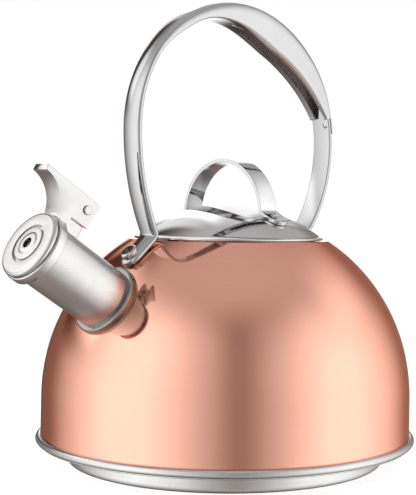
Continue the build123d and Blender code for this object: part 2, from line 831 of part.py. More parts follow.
def grip_loft(start, end, hollow=False):
    """Loft through the grip's outer sections, or its hollow's, between two shares of its length."""
    sections = []
    for index in range(GRIP_STATIONS):
        share = start + (end - start) * index / (GRIP_STATIONS - 1)
        width = grip_width(share)
        under = grip_under(share)
        if hollow:
            inner = STRAP_EDGE / 2
            room = inner + under - GRIP_WALL
            section = grip_section(width - 2 * GRIP_WALL, inner, room, 0.2 * room, 0.2 * room)
        else:
            back = STRAP_CROWN + GRIP_FIT + grip_wall(share)
            depth = back + under
            section = grip_section(width, back, depth, GRIP_BACK_R, GRIP_LIP_R * depth / (depth + GRIP_DEPTH))
        sections.append(grip_frame(share) * section)
    return loft(sections)


def make_handle_grip():
    """Hollow grip shell round the strap, slit on its underside, with a riveted tongue."""
    tongue_share = TONGUE / (GRIP_AHEAD + GRIP_BEHIND)
    end = 1 + tongue_share
    grip = grip_loft(0, end)
    grip -= grip_loft(*HOLLOW, hollow=True)
    section = strap_section(STRAP_W, STRAP_EDGE, STRAP_CROWN, GRIP_FIT)
    grip -= sweep(strap_frame(0) * section, path=HANDLE_PATH)
    cut = Pos(0, -GRIP_DEPTH / 2) * Rectangle(SLIT_W, GRIP_DEPTH)
    steps = [SLIT_START + (end - SLIT_START) * index / (GRIP_STATIONS - 1) for index in range(GRIP_STATIONS)]
    grip -= loft([grip_frame(share) * cut for share in steps])
    under = STRAP_EDGE + 2 * GRIP_FIT
    grip -= block(grip_frame(1), (-STRAP_W, STRAP_W), (-2 * GRIP_DEPTH, under), (0, 3 * TONGUE))
    return grip - rod(GRIP_RIVET_PLANE, GRIP_RIVET_R + HOLE_GAP, -STRAP_CROWN, 3 * STRAP_CROWN)


def make_grip_rivet():
    """Rivet through the grip's tongue and the strap, with a head on the inner face."""
    outer = STRAP_CROWN + GRIP_FIT + GRIP_END_WALL
    dip = -GRIP_RIVET_HEAD_R**2 / REAR_LEG_R
    rivet = rod(GRIP_RIVET_PLANE, GRIP_RIVET_R, dip, outer)
    return rivet + rod(GRIP_RIVET_PLANE, GRIP_RIVET_HEAD_R, dip - GRIP_RIVET_HEAD_H, dip)


# Handle fasteners


def make_handle_screws():
    """Pan-head screw with a cross recess through each foot."""
    seat = STRAP_CROWN - SCREW_SEAT
    top = seat + SCREW_HEAD_H
    tail = -WASHER_LOW - WASHER_T - NUT_H - SCREW_PAST_NUT
    screws = []
    for plane in FOOT_PLANES:
        screw = rod(plane, SCREW_R, tail, seat)
        head = rod(plane, SCREW_HEAD_R, seat, top)
        rim = head.edges().filter_by(GeomType.CIRCLE).sort_by(Axis(plane.origin, plane.z_dir))[-1]
        screw += fillet(rim, SCREW_EDGE_R)
        half_l = RECESS_L / 2
        half_w = RECESS_W / 2
        depth = (top - RECESS_DEPTH, top + RECESS_DEPTH)
        screw -= block(plane, (-half_l, half_l), (-half_w, half_w), depth)
        screw -= block(plane, (-half_w, half_w), (-half_l, half_l), depth)
        screws.append(screw)
    return screws


def make_screw_washers():
    """Washer under each nut, against the inside of the dome."""
    bore = SCREW_R + SCREW_HOLE_GAP
    low = -WASHER_LOW - WASHER_T
    return [rod(p, WASHER_R, low, -WASHER_LOW) - rod(p, bore, low, 0) for p in FOOT_PLANES]


def make_screw_nuts():
    """Nut on each screw, inside the dome."""
    high = -WASHER_LOW - WASHER_T
    nuts = []
    for plane in FOOT_PLANES:
        hexagon = RegularPolygon(NUT_AF / 2, 6, major_radius=False)
        nut = plane * Pos(0, 0, high - NUT_H) * extrude(hexagon, amount=NUT_H)
        nuts.append(nut - rod(plane, SCREW_R + HOLE_GAP, high - 2 * NUT_H, high + NUT_H))
    return nuts


# Planes and lines that several pieces share
FOOT_PLANES = [foot_frame(BODY_R, DOME_Z, FOOT_X, sign) for sign in (-1, 1)]
KNOB_Z = LID_EDGE_Z + LID_RISE + KNOB_RISE - KNOB_R
KNOB_FOOT_X = KNOB_R + KNOB_FOOT_OUT
KNOB_PLANES = [foot_frame(LID_DOME_R, LID_DOME_Z, KNOB_FOOT_X, sign, across=True) for sign in (-1, 1)]
PIN_PLANE = Plane(origin=SPOUT.from_local_coords((PIN_S, PIN_H, 0)), z_dir=(0, 1, 0))
FINGER_CENTRE = finger_centre()
HANDLE_PATH, APEX_AT = handle_path()
RIVET_FRAME = strap_frame(APEX_AT + GRIP_BEHIND + TONGUE_RIVET)
RIVET_PLACE = RIVET_FRAME.from_local_coords((-TONGUE_RIVET_SIDE, 0, 0))
GRIP_RIVET_PLANE = Plane(origin=RIVET_PLACE, x_dir=(0, 1, 0), z_dir=RIVET_FRAME.y_dir)
WASHER_LOW = BODY_R - sqrt(INNER_R**2 - WASHER_R**2) + HOLE_GAP

body_shell = make_body_shell()
base_core, base_capsule = make_base()
PARTS = {
    "body_shell": body_shell,
    "base_pan": make_base_pan(body_shell),
    "base_core": base_core,
    "base_capsule": base_capsule,
    "spout_tube": make_spout_tube(),
    "spout_collar": make_spout_collar(),
    "hinge_bracket": make_hinge_bracket(),
    "hinge_pin": make_hinge_pin(),
    "return_spring": make_return_spring(),
    "trigger_lever": make_trigger_lever(),
    "whistle_band": make_whistle_band(),
    "whistle_face": make_whistle_face(),
    "whistle_plate": make_whistle_plate(),
    "lid_shell": make_lid_shell(),
    "lid_skirt": make_lid_skirt(),
    "lid_strap": make_lid_strap(),
    "lid_rivets": make_lid_rivets(),
    "handle_strap": make_handle_strap(),
    "handle_grip": make_handle_grip(),
    "grip_rivet": make_grip_rivet(),
    "handle_screws": make_handle_screws(),
    "screw_washers": make_screw_washers(),
    "screw_nuts": make_screw_nuts(),
}

os.makedirs("parts", exist_ok=True)
for name, shape in PARTS.items():
    solids = Compound(children=shape) if isinstance(shape, list) else shape
    export_step(solids, f"parts/{name}.step")
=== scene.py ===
"""Looks of the stovetop whistling kettle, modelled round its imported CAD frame."""

import logging
from collections.abc import Callable, Iterator
from dataclasses import dataclass
from enum import Enum
from math import acos, asin, atan2, ceil, cos, hypot, pi, radians, sin, sqrt

import bmesh
import bpy
from mathutils import Matrix, Vector


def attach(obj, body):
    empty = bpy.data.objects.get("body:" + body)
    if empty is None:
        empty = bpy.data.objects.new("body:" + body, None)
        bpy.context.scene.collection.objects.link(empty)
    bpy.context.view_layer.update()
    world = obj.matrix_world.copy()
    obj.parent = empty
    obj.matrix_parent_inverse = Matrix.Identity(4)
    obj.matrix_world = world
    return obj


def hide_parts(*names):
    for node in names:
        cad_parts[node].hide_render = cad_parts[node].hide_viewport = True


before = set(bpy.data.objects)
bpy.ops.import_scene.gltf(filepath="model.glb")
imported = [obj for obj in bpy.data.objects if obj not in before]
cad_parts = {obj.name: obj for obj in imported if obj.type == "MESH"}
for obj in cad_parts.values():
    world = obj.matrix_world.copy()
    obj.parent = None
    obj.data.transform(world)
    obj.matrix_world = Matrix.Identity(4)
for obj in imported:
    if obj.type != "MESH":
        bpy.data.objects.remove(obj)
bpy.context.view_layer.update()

log = logging.getLogger("kettle")

Pair = tuple[float, float]
Triple = tuple[float, float, float]
Piece = bpy.types.Object
Socket = bpy.types.NodeSocket

MM = 0.001
WELD = 1e-6
ROUND = 2 * pi
WHITE = (1.0, 1.0, 1.0, 1.0)
X_AXIS, Y_AXIS, Z_AXIS = Vector((1, 0, 0)), Vector((0, 1, 0)), Vector((0, 0, 1))

# Steps of a full turn
WIDE_TURN, SKIRT_TURN, TUBE_TURN, SCREW_TURN, PIN_TURN = 256, 192, 128, 64, 48

# Reach of cutting shapes along the spout and away from it, past all that they cut
TOOL_NEAR, TOOL_FAR, TOOL_HIGH = 100.0, 190.0, 60.0


class Body(Enum):
    """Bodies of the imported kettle."""

    KETTLE = "kettle"
    WHISTLE = "whistle"
    LID = "lid"


class Slot(Enum):
    """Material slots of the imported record."""

    COPPER = "copper_body"
    CHROME = "chrome"
    SATIN = "satin_steel"
    POLISHED = "polished_steel"
    CORE = "aluminium_core"
    SPRING = "spring_steel"


# Lines


@dataclass(frozen=True)
class Board:
    """Flat drawing board in the kettle's frame, in millimetres."""

    origin: Vector
    across: Vector
    up: Vector

    @property
    def normal(self) -> Vector:
        """Direction about which a turn from across to up is right-handed."""
        return self.across.cross(self.up)

    def place(self, point: Pair) -> Vector:
        """World place of a point of the board, in metres."""
        return (self.origin + self.across * point[0] + self.up * point[1]) * MM

    def shifted(self, distance: float) -> "Board":
        """The same board, moved along its normal."""
        return Board(self.origin + self.normal * distance, self.across, self.up)


@dataclass(frozen=True)
class Arc:
    """Arc about a centre to an end point, by the shorter way."""

    centre: Pair
    end: Pair

    @property
    def radius(self) -> float:
        """Distance of the end from the centre."""
        return hypot(self.end[0] - self.centre[0], self.end[1] - self.centre[1])

    def bearing(self, point: Pair) -> float:
        """Angle of a point about the centre."""
        return atan2(point[1] - self.centre[1], point[0] - self.centre[0])

    def turn_from(self, start: Pair) -> float:
        """Signed angle from a start point to the end."""
        return (self.bearing(self.end) - self.bearing(start) + pi) % ROUND - pi


Step = Pair | Arc

SIDE = Board(Vector((0, 0, 0)), X_AXIS, Z_AXIS)
ACROSS = Board(Vector((0, 0, 0)), Y_AXIS, Z_AXIS)


def along(start: Pair, way: Pair, distance: float) -> Pair:
    """Point at a distance from another in a direction."""
    return (start[0] + way[0] * distance, start[1] + way[1] * distance)


def between(first: Pair, last: Pair, share: float) -> Pair:
    """Point at a share of the way from one point to another."""
    return (first[0] + (last[0] - first[0]) * share, first[1] + (last[1] - first[1]) * share)


def on_circle(centre: Pair, radius: float, angle: float) -> Pair:
    """Point of a circle at an angle."""
    return (centre[0] + radius * cos(angle), centre[1] + radius * sin(angle))


def shares(count: int) -> list[float]:
    """Even shares up to 1."""
    return [index / count for index in range(1, count + 1)]


def ease(share: float) -> float:
    """Smooth rise from 0 to 1."""
    return 0.5 - 0.5 * cos(pi * min(max(share, 0.0), 1.0))


def end_of(step: Step) -> Pair:
    """Where a step ends."""
    return step.end if isinstance(step, Arc) else step


def length_of(start: Pair, step: Step) -> float:
    """Length of a step.

    Args:
        start: Where it starts.
        step: The step.

    Returns:
        Its length.
    """
    if isinstance(step, Arc):
        return abs(step.turn_from(start)) * step.radius
    return hypot(step[0] - start[0], step[1] - start[1])


def flipped(point: Pair) -> Pair:
    """The same point on the other side of the axis."""
    return (-point[0], point[1])


def mirrored(steps: list[Step]) -> list[Step]:
    """The same line on the other side of the axis.

    Args:
        steps: Steps of the line.

    Returns:
        The mirrored steps.
    """
    return [
        Arc(flipped(step.centre), flipped(step.end)) if isinstance(step, Arc) else flipped(step)
        for step in steps
    ]


def reversed_line(start: Pair, steps: list[Step]) -> list[Step]:
    """The same line, walked from its far end.

    Args:
        start: Where the line begins.
        steps: Its steps.

    Returns:
        Steps from the far end back to the start.
    """
    starts = [start, *(end_of(step) for step in steps[:-1])]
    return [
        Arc(step.centre, end) if isinstance(step, Arc) else end
        for step, end in zip(reversed(steps), reversed(starts))
    ]


# Hand operations


def started(name: str, primitive: Callable, **settings: object) -> Piece:
    """Adds a primitive at the origin.

    Args:
        name: Name of the piece.
        primitive: Operator that adds it.
        settings: Its settings.

    Returns:
        The piece.
    """
    bpy.ops.object.select_all(action="DESELECT")
    primitive(**settings)
    piece = bpy.context.object
    piece.name = name
    return piece


def weld() -> None:
    """Merges doubled vertices in edit mode and selects everything."""
    bpy.ops.mesh.select_all(action="SELECT")
    bpy.ops.mesh.remove_doubles(threshold=WELD)
    bpy.ops.mesh.select_all(action="SELECT")


def close_mesh() -> None:
    """Closes seams, turns the faces outwards and leaves edit mode."""
    weld()
    bpy.ops.mesh.normals_make_consistent(inside=False)
    bpy.ops.object.mode_set(mode="OBJECT")


def pick(piece: Piece, wanted: Callable[[Vector], bool]) -> None:
    """Selects vertices in edit mode.

    Args:
        piece: Piece in edit mode.
        wanted: Whether the vertex at a place is selected.
    """
    bpy.ops.mesh.select_mode(type="VERT")
    bpy.ops.mesh.select_all(action="DESELECT")
    mesh = bmesh.from_edit_mesh(piece.data)
    for vertex in mesh.verts:
        vertex.select = wanted(vertex.co)
    mesh.select_flush_mode()
    bmesh.update_edit_mesh(piece.data)


def take(piece: Piece) -> None:
    """Makes a piece the only selected and the active one.

    Args:
        piece: The piece.
    """
    bpy.ops.object.select_all(action="DESELECT")
    piece.select_set(True)
    bpy.context.view_layer.objects.active = piece


def apply(piece: Piece, kind: str, **settings: object) -> None:
    """Adds a modifier, sets it and applies it.

    Args:
        piece: Piece that gets it.
        kind: Type of the modifier.
        settings: Its settings.
    """
    take(piece)
    modifier = piece.modifiers.new(kind.lower(), kind)
    for name, value in settings.items():
        setattr(modifier, name, value)
    bpy.ops.object.modifier_apply(modifier=modifier.name)


def cut_away(piece: Piece, tool: Piece) -> None:
    """Cuts a tool shape, which is then removed, out of a piece."""
    apply(piece, "BOOLEAN", operation="DIFFERENCE", solver="EXACT", object=tool)
    bpy.data.objects.remove(tool)


def soften(piece: Piece, width: float, segments: int = 3, angle: float = 35.0) -> None:
    """Rounds the sharp edges of a piece.

    Args:
        piece: Piece to bevel.
        width: Width of the bevel in millimetres.
        segments: Faces across the bevel.
        angle: Least angle in degrees of an edge that is rounded.
    """
    apply(
        piece, "BEVEL", width=width * MM, segments=segments, limit_method="ANGLE",
        angle_limit=radians(angle), harden_normals=True,
    )


def smooth(piece: Piece, angle: float = 40.0) -> Piece:
    """Shades a piece smooth.

    Args:
        piece: The piece.
        angle: Edges above this angle in degrees stay sharp.

    Returns:
        The piece.
    """
    take(piece)
    bpy.ops.object.shade_smooth_by_angle(angle=radians(angle))
    return piece


def joined(name: str, pieces: list[Piece]) -> Piece:
    """Makes one piece of several.

    Args:
        name: Name of the joined piece.
        pieces: Pieces to join.

    Returns:
        The joined piece.
    """
    take(pieces[0])
    for piece in pieces[1:]:
        piece.select_set(True)
    bpy.ops.object.join()
    pieces[0].name = name
    return pieces[0]


class Pen:
    """Draws a line of edges on a board with extrude and spin, and makes pieces of it."""

    widest_turn = radians(15)
    longest_run = 2.0

    def __init__(self, name: str, board: Board, start: Pair) -> None:
        """Sets a first vertex.

        Args:
            name: Name of the piece.
            board: Board to draw on.
            start: First point on the board.
        """
        self.board = board
        self.here = start
        self.piece = started(name, bpy.ops.mesh.primitive_plane_add, size=MM)
        bpy.ops.object.mode_set(mode="EDIT")
        bpy.ops.mesh.select_all(action="SELECT")
        bpy.ops.mesh.merge(type="CENTER")
        bpy.ops.transform.translate(value=board.place(start))

    def walk(self, steps: list[Step]) -> "Pen":
        """Draws on through points and arcs, with all that is selected.

        Args:
            steps: Points and arcs on the board.

        Returns:
            The pen, for the next call.
        """
        for step in steps:
            if isinstance(step, Arc):
                turn = step.turn_from(self.here)
                runs = length_of(self.here, step) / self.longest_run
                count = max(ceil(abs(turn) / self.widest_turn), ceil(runs), 2)
                centre = self.board.place(step.centre)
                bpy.ops.mesh.spin(steps=count, angle=-turn, center=centre, axis=self.board.normal)
            else:
                way = self.board.place(step) - self.board.place(self.here)
                bpy.ops.mesh.extrude_region_move(TRANSFORM_OT_translate={"value": way})
            self.here = end_of(step)
        return self

    def follow(self, board: Board, start: Pair, steps: list[Step]) -> None:
        """Closes the drawn section and carries it along a line on another board.

        Args:
            board: Board of the line.
            start: Where the line begins.
            steps: Points and arcs of the line.
        """
        weld()
        self.board, self.here = board, start
        self.walk(steps)

    def turned(self, axis: Vector, segments: int, angle: float | None = None) -> Piece:
        """Spins the line all round an axis through the board's origin.

        Args:
            axis: Direction of the axis.
            segments: Steps of the full turn.
            angle: Edges above this angle in degrees stay sharp, or all where none is given.

        Returns:
            The piece.
        """
        weld()
        centre = self.board.origin * MM
        bpy.ops.mesh.spin(steps=segments, angle=ROUND, center=centre, axis=axis)
        close_mesh()
        return self.piece if angle is None else smooth(self.piece, angle)

    def thickened(self, thickness: float) -> Piece:
        """Fills the closed line and extrudes it along the board's normal.

        Args:
            thickness: Distance in millimetres.

        Returns:
            The piece.
        """
        weld()
        bpy.ops.mesh.edge_face_add()
        way = self.board.normal * thickness * MM
        bpy.ops.mesh.extrude_region_move(TRANSFORM_OT_translate={"value": way})
        close_mesh()
        return self.piece


def block(board: Board, low: Triple, high: Triple) -> Piece:
    """Box shape to cut with, between corners along a board's across, up and normal."""
    corners = [(high[0], low[1]), high[:2], (low[0], high[1]), low[:2]]
    return Pen("tool", board.shifted(low[2]), low[:2]).walk(corners).thickened(high[2] - low[2])


# Finishes


class Graph:
    """Short way to add and link nodes."""

    def __init__(self, tree: bpy.types.NodeTree) -> None:
        """Keeps the tree."""
        self.tree = tree

    @classmethod
    def of(cls, owner: bpy.types.ID) -> "Graph":
        """Starts the nodes of a material or a world.

        Args:
            owner: The material or the world.

        Returns:
            Its empty graph.
        """
        owner.use_nodes = True
        owner.node_tree.nodes.clear()
        return cls(owner.node_tree)

    def add(self, kind: str, sockets: dict | None = None, **settings: object) -> bpy.types.Node:
        """Adds a node.

        Args:
            kind: Node type.
            sockets: Values or sockets for its inputs, by name or number.
            settings: Its settings.

        Returns:
            The node.
        """
        node = self.tree.nodes.new(kind)
        for name, value in settings.items():
            setattr(node, name, value)
        for key, value in (sockets or {}).items():
            if isinstance(value, Socket):
                self.tree.links.new(value, node.inputs[key])
            else:
                node.inputs[key].default_value = value
        return node

    def math(self, operation: str, a: object, b: object = 0.0) -> Socket:
        """Output of a Math node on two values or sockets."""
        return self.add("ShaderNodeMath", {0: a, 1: b}, operation=operation).outputs[0]

    def mix(self, share: object, a: object, b: object, blend: str = "MIX") -> Socket:
        """Output of a Mix node on two colours."""
        settings = {"data_type": "RGBA", "blend_type": blend}
        return self.add("ShaderNodeMix", {0: share, 6: a, 7: b}, **settings).outputs[2]

    def spread(self, value: object, span: Pair, low: float = 0.0, high: float = 1.0) -> Socket:
        """Smooth output from low to high where a value goes over a span.

        Args:
            value: The value.
            span: Where it starts and ends.
            low: Output at the start.
            high: Output at the end.

        Returns:
            The output of a Map Range node.
        """
        sockets = {"Value": value, "From Min": span[0], "From Max": span[1]}
        sockets |= {"To Min": low, "To Max": high}
        return self.add("ShaderNodeMapRange", sockets, interpolation_type="SMOOTHSTEP").outputs[0]

    def level(self, way: Socket, operation: str) -> tuple[bpy.types.Node, Socket]:
        """Works on the level part of a vector.

        Args:
            way: The vector.
            operation: What is done with its level part.

        Returns:
            The node that does it, and the vector's third value.
        """
        parts = self.add("ShaderNodeSeparateXYZ", {0: way}).outputs
        flat = self.add("ShaderNodeCombineXYZ", {0: parts[0], 1: parts[1]}).outputs[0]
        return self.add("ShaderNodeVectorMath", {0: flat}, operation=operation), parts[2]

    def effect(self, tree: bpy.types.NodeTree, place: Socket, scale: float) -> bpy.types.Node:
        """Adds a shared node group at a place and a scale."""
        return self.add("ShaderNodeGroup", {"Vector": place, "Scale": scale}, node_tree=tree)


class Effects:
    """Node groups that several finishes share."""

    line_span = (0.3, 0.7)
    patch_span = (0.35, 0.7)
    ripple_scale = 9.0

    def __init__(self) -> None:
        """Builds the groups."""
        self.hairlines = self._hairlines()
        self.turning = self._turning()
        self.handling = self._handling()

    @staticmethod
    def _group(name: str, *outputs: str) -> tuple[Graph, Socket, Socket]:
        """Starts a node group.

        Args:
            name: Name of the group.
            outputs: Names of the values that it puts out.

        Returns:
            Its graph, and the vector and the scale that it is given.
        """
        tree = bpy.data.node_groups.new(name, "ShaderNodeTree")
        sockets = [("Vector", "INPUT", "NodeSocketVector"), ("Scale", "INPUT", "NodeSocketFloat")]
        for label, side, kind in sockets + [(it, "OUTPUT", "NodeSocketFloat") for it in outputs]:
            tree.interface.new_socket(label, in_out=side, socket_type=kind)
        graph = Graph(tree)
        given = graph.add("NodeGroupInput").outputs
        return graph, given["Vector"], given["Scale"]

    def _hairlines(self) -> bpy.types.NodeTree:
        """Fine straight lines of a brushed surface, along the short axis of the vector.

        Returns:
            The group.
        """
        graph, place, scale = self._group("hairlines", "Mask")
        sockets = {"Vector": place, "Scale": scale, "Detail": 3.0, "Roughness": 0.7}
        lines = graph.add("ShaderNodeTexNoise", sockets).outputs["Fac"]
        graph.add("NodeGroupOutput", {"Mask": graph.spread(lines, self.line_span)})
        return graph.tree

    def _turning(self) -> bpy.types.NodeTree:
        """Rings left by a lathe round the vector's third axis.

        Returns:
            The group.
        """
        graph, place, scale = self._group("turning", "Mask")
        away, _ = graph.level(place, "LENGTH")
        sockets = {"W": away.outputs["Value"], "Scale": scale, "Detail": 2.0}
        rings = graph.add("ShaderNodeTexNoise", sockets, noise_dimensions="1D").outputs["Fac"]
        graph.add("NodeGroupOutput", {"Mask": graph.spread(rings, self.line_span)})
        return graph.tree

    def _handling(self) -> bpy.types.NodeTree:
        """Soft wiped patches and a fine ripple, as on handled sheet metal.

        Returns:
            The group.
        """
        graph, place, scale = self._group("handling", "Patches", "Ripple")
        sockets = {"Detail": 5.0, "Roughness": 0.6, "Distortion": 0.8}
        broad = graph.add("ShaderNodeTexNoise", {"Vector": place, "Scale": scale, **sockets})
        fine_scale = graph.math("MULTIPLY", scale, self.ripple_scale)
        sockets = {"Vector": place, "Scale": fine_scale, "Detail": 2.0}
        ripple = graph.add("ShaderNodeTexNoise", sockets).outputs["Fac"]
        patches = graph.spread(broad.outputs["Fac"], self.patch_span)
        graph.add("NodeGroupOutput", {"Patches": patches, "Ripple": ripple})
        return graph.tree


@dataclass(frozen=True)
class Metal:
    """A finish, of metal unless its metallic is 0.

    Its lines are hairlines stretched along an axis, or lathe rings where ringed is set.
    """

    name: str
    slot: Slot
    tone: Triple
    worn: Triple
    rough: float
    rough_more: float
    patch_scale: float
    ripple: float
    ripple_depth: float = 0.0002
    line_rough: float = 0.0
    line_tone: float = 0.0
    line_bump: float = 0.0
    line_depth: float = 0.0001
    line_scale: float = 400.0
    stretch: Triple = (1.0, 1.0, 1.0)
    turn: Triple = (0.0, 0.0, 0.0)
    centre: Triple = (0.0, 0.0, 0.0)
    ringed: bool = False
    metallic: float = 1.0
    edge: Triple = (1.0, 1.0, 1.0)
    coat: float = 0.0
    coat_rough: float = 0.03

    def material(self, effects: Effects) -> bpy.types.Material:
        """Builds the material.

        Args:
            effects: Shared node groups.

        Returns:
            The material.
        """
        made = bpy.data.materials.new(self.name)
        graph = Graph.of(made)
        place = graph.add("ShaderNodeTexCoord").outputs["Object"]
        handling = graph.effect(effects.handling, place, self.patch_scale).outputs
        tone = graph.mix(handling["Patches"], (*self.tone, 1), (*self.worn, 1))
        most_rough = self.rough + self.rough_more
        rough = graph.spread(handling["Patches"], (0.0, 1.0), self.rough, most_rough)
        sockets = {"Strength": self.ripple, "Distance": self.ripple_depth}
        bump = graph.add("ShaderNodeBump", {"Height": handling["Ripple"], **sockets}).outputs[0]
        if self.line_rough or self.line_tone or self.line_bump:
            sockets = {0: place, 1: self.centre}
            moved = graph.add("ShaderNodeVectorMath", sockets, operation="SUBTRACT")
            sockets = {"Vector": moved.outputs[0], "Rotation": self.turn, "Scale": self.stretch}
            stretched = graph.add("ShaderNodeMapping", sockets, vector_type="POINT").outputs[0]
            kind = effects.turning if self.ringed else effects.hairlines
            mask = graph.effect(kind, stretched, self.line_scale).outputs["Mask"]
            rough = graph.math("ADD", rough, graph.math("MULTIPLY", mask, self.line_rough))
            shade = graph.spread(mask, (0.0, 1.0), 1.0, 1.0 - self.line_tone)
            tone = graph.mix(1.0, tone, shade, "MULTIPLY")
            sockets = {"Strength": self.line_bump, "Distance": self.line_depth, "Normal": bump}
            bump = graph.add("ShaderNodeBump", {"Height": mask, **sockets}).outputs[0]
        shader = graph.add(
            "ShaderNodeBsdfPrincipled",
            {
                "Base Color": tone,
                "Metallic": self.metallic,
                "Specular Tint": (*self.edge, 1),
                "Roughness": rough,
                "Normal": bump,
                "Coat Weight": self.coat,
                "Coat Roughness": self.coat_rough,
            },
        )
        graph.add("ShaderNodeOutputMaterial", {"Surface": shader.outputs[0]})
        return made


SPOUT_TILT = 32.1
SPOUT_LEAN = (0.0, radians(SPOUT_TILT - 90.0), 0.0)


class Finish(Enum):
    """Finishes of the kettle."""

    COPPER = Metal(
        "copper_lacquer", Slot.COPPER, tone=(0.83, 0.425, 0.32), worn=(0.81, 0.405, 0.30),
        rough=0.06, rough_more=0.02, patch_scale=14.0, ripple=0.006,
        line_rough=0.015, line_tone=0.01, line_scale=260.0, stretch=(0.06, 0.06, 4.0),
        edge=(1.0, 0.62, 0.50), coat=0.12, coat_rough=0.04,
    )
    LID = Metal(
        "mirror_chrome_lid", Slot.CHROME, tone=(0.60, 0.60, 0.605), worn=(0.58, 0.58, 0.585),
        rough=0.035, rough_more=0.02, patch_scale=30.0, ripple=0.006,
    )
    # Darker copy of the lid's chrome: the handle is the same metal, and its lower tone is painted
    # shade
    HANDLE = Metal(
        "mirror_chrome_handle_painted_shade", Slot.CHROME, tone=(0.46, 0.46, 0.465), worn=(0.44, 0.44, 0.445),
        rough=0.035, rough_more=0.02, patch_scale=30.0, ripple=0.006,
    )
    SATIN = Metal(
        "satin_steel", Slot.SATIN, tone=(0.60, 0.595, 0.59), worn=(0.57, 0.565, 0.56),
        rough=0.22, rough_more=0.05, patch_scale=40.0, ripple=0.015,
        line_rough=0.05, line_tone=0.04, line_bump=0.03, line_scale=300.0,
        stretch=(0.06, 0.06, 5.0),
    )
    SPOUT = Metal(
        "satin_spout", Slot.SATIN, tone=(0.56, 0.55, 0.535), worn=(0.54, 0.53, 0.515),
        rough=0.20, rough_more=0.03, patch_scale=60.0, ripple=0.01,
        line_rough=0.02, line_tone=0.02, line_bump=0.01, line_scale=420.0,
        stretch=(0.08, 0.08, 4.0), turn=SPOUT_LEAN,
    )
    WHISTLE = Metal(
        "turned_whistle", Slot.POLISHED, tone=(0.59, 0.58, 0.57), worn=(0.57, 0.56, 0.55),
        rough=0.16, rough_more=0.03, patch_scale=60.0, ripple=0.01,
        line_rough=0.03, line_tone=0.03, line_bump=0.01, line_scale=900.0,
        turn=SPOUT_LEAN, centre=(0.0, 0.0, 0.035), ringed=True,
    )
    POLISHED = Metal(
        "polished_steel", Slot.POLISHED, tone=(0.54, 0.53, 0.525), worn=(0.51, 0.50, 0.495),
        rough=0.09, rough_more=0.04, patch_scale=70.0, ripple=0.01,
    )
    # Polished steel with a dark tone painted on: painted shade for the dark reflection round the
    # spout's trim ring
    COLLAR = Metal(
        "collar_painted_shade", Slot.POLISHED, tone=(0.30, 0.275, 0.26), worn=(0.26, 0.24, 0.225),
        rough=0.08, rough_more=0.03, patch_scale=50.0, ripple=0.006,
    )
    INSIDE = Metal(
        "unpolished_inside", Slot.CHROME, tone=(0.55, 0.50, 0.48), worn=(0.45, 0.41, 0.39),
        rough=0.55, rough_more=0.10, patch_scale=60.0, ripple=0.05, metallic=0.0,
    )
    ALUMINIUM = Metal(
        "aluminium_core", Slot.CORE, tone=(0.78, 0.78, 0.79), worn=(0.68, 0.68, 0.69),
        rough=0.35, rough_more=0.10, patch_scale=50.0, ripple=0.05,
    )
    SPRING = Metal(
        "spring_wire", Slot.SPRING, tone=(0.55, 0.54, 0.53), worn=(0.45, 0.44, 0.43),
        rough=0.25, rough_more=0.10, patch_scale=200.0, ripple=0.03,
    )


class Wardrobe:
    """Builds each finish once and dresses pieces with it."""

    def __init__(self) -> None:
        """Builds the materials."""
        effects = Effects()
        self.materials = {finish: finish.value.material(effects) for finish in Finish}

    def paint(self, mesh: bpy.types.Mesh, finish: Finish, inside: Finish) -> None:
        """Gives a mesh its materials.

        Args:
            mesh: The mesh.
            finish: Finish of its first material.
            inside: Finish of any further one.
        """
        if not mesh.materials:
            mesh.materials.append(None)
        for index in range(len(mesh.materials)):
            mesh.materials[index] = self.materials[inside if index else finish]

    def dress(self, piece: Piece, finish: Finish, body: Body, *nodes: str) -> None:
        """Gives a new piece its finish, body and the CAD nodes that it stands for.

        Args:
            piece: The piece.
            finish: Its finish.
            body: Body that it moves with.
            nodes: CAD nodes that it replaces.
        """
        self.paint(piece.data, finish, Finish.INSIDE)
        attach(piece, body.value)
        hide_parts(*nodes)
        log.info("%s: %d faces, for %s", piece.name, len(piece.data.polygons), ", ".join(nodes))

    def dress_node(self, node: str, finish: Finish) -> None:
        """Gives a CAD node that stays its finish."""
        self.paint(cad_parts[node].data, finish, finish)
        log.info("%s: kept from the CAD frame", node)


# Straps


@dataclass(frozen=True)
class Crown:
    """Crowned back of a section, running into round corners at both sides."""

    half: float
    edge: float
    top: float
    corner: float

    @property
    def radius(self) -> float:
        """Radius of the crown."""
        sag = self.top - self.edge
        return (self.half**2 + sag**2) / (2 * sag)

    @property
    def centre(self) -> Pair:
        """Centre of the crown."""
        return (0.0, self.top - self.radius)

    @property
    def corner_centre(self) -> Pair:
        """Centre of the corner on the side of positive across."""
        near = self.half - self.corner
        return (near, self.centre[1] + sqrt((self.radius - self.corner) ** 2 - near**2))

    @property
    def touch(self) -> Pair:
        """Where the crown runs into that corner."""
        return between(self.centre, self.corner_centre, self.radius / (self.radius - self.corner))


@dataclass(frozen=True)
class StrapSection:
    """Section of a strap: flat inner face, crowned outer face, rounded edges."""

    width: float
    edge: float
    crown: float
    corner: float
    shoulder: float

    @property
    def half(self) -> float:
        """Half the width."""
        return self.width / 2

    def steps(self) -> tuple[Pair, list[Step]]:
        """Closed outline from the middle of the inner face.

        Returns:
            The start and the steps round the section.
        """
        inset = self.half - self.corner
        back = Crown(self.half, self.edge, self.crown, self.shoulder)
        start = (0.0, 0.0)
        right = [
            (inset, 0.0),
            Arc((inset, self.corner), (self.half, self.corner)),
            (self.half, back.corner_centre[1]),
            Arc(back.corner_centre, back.touch),
            Arc(back.centre, (0.0, self.crown)),
        ]
        return start, right + mirrored(reversed_line(start, right))


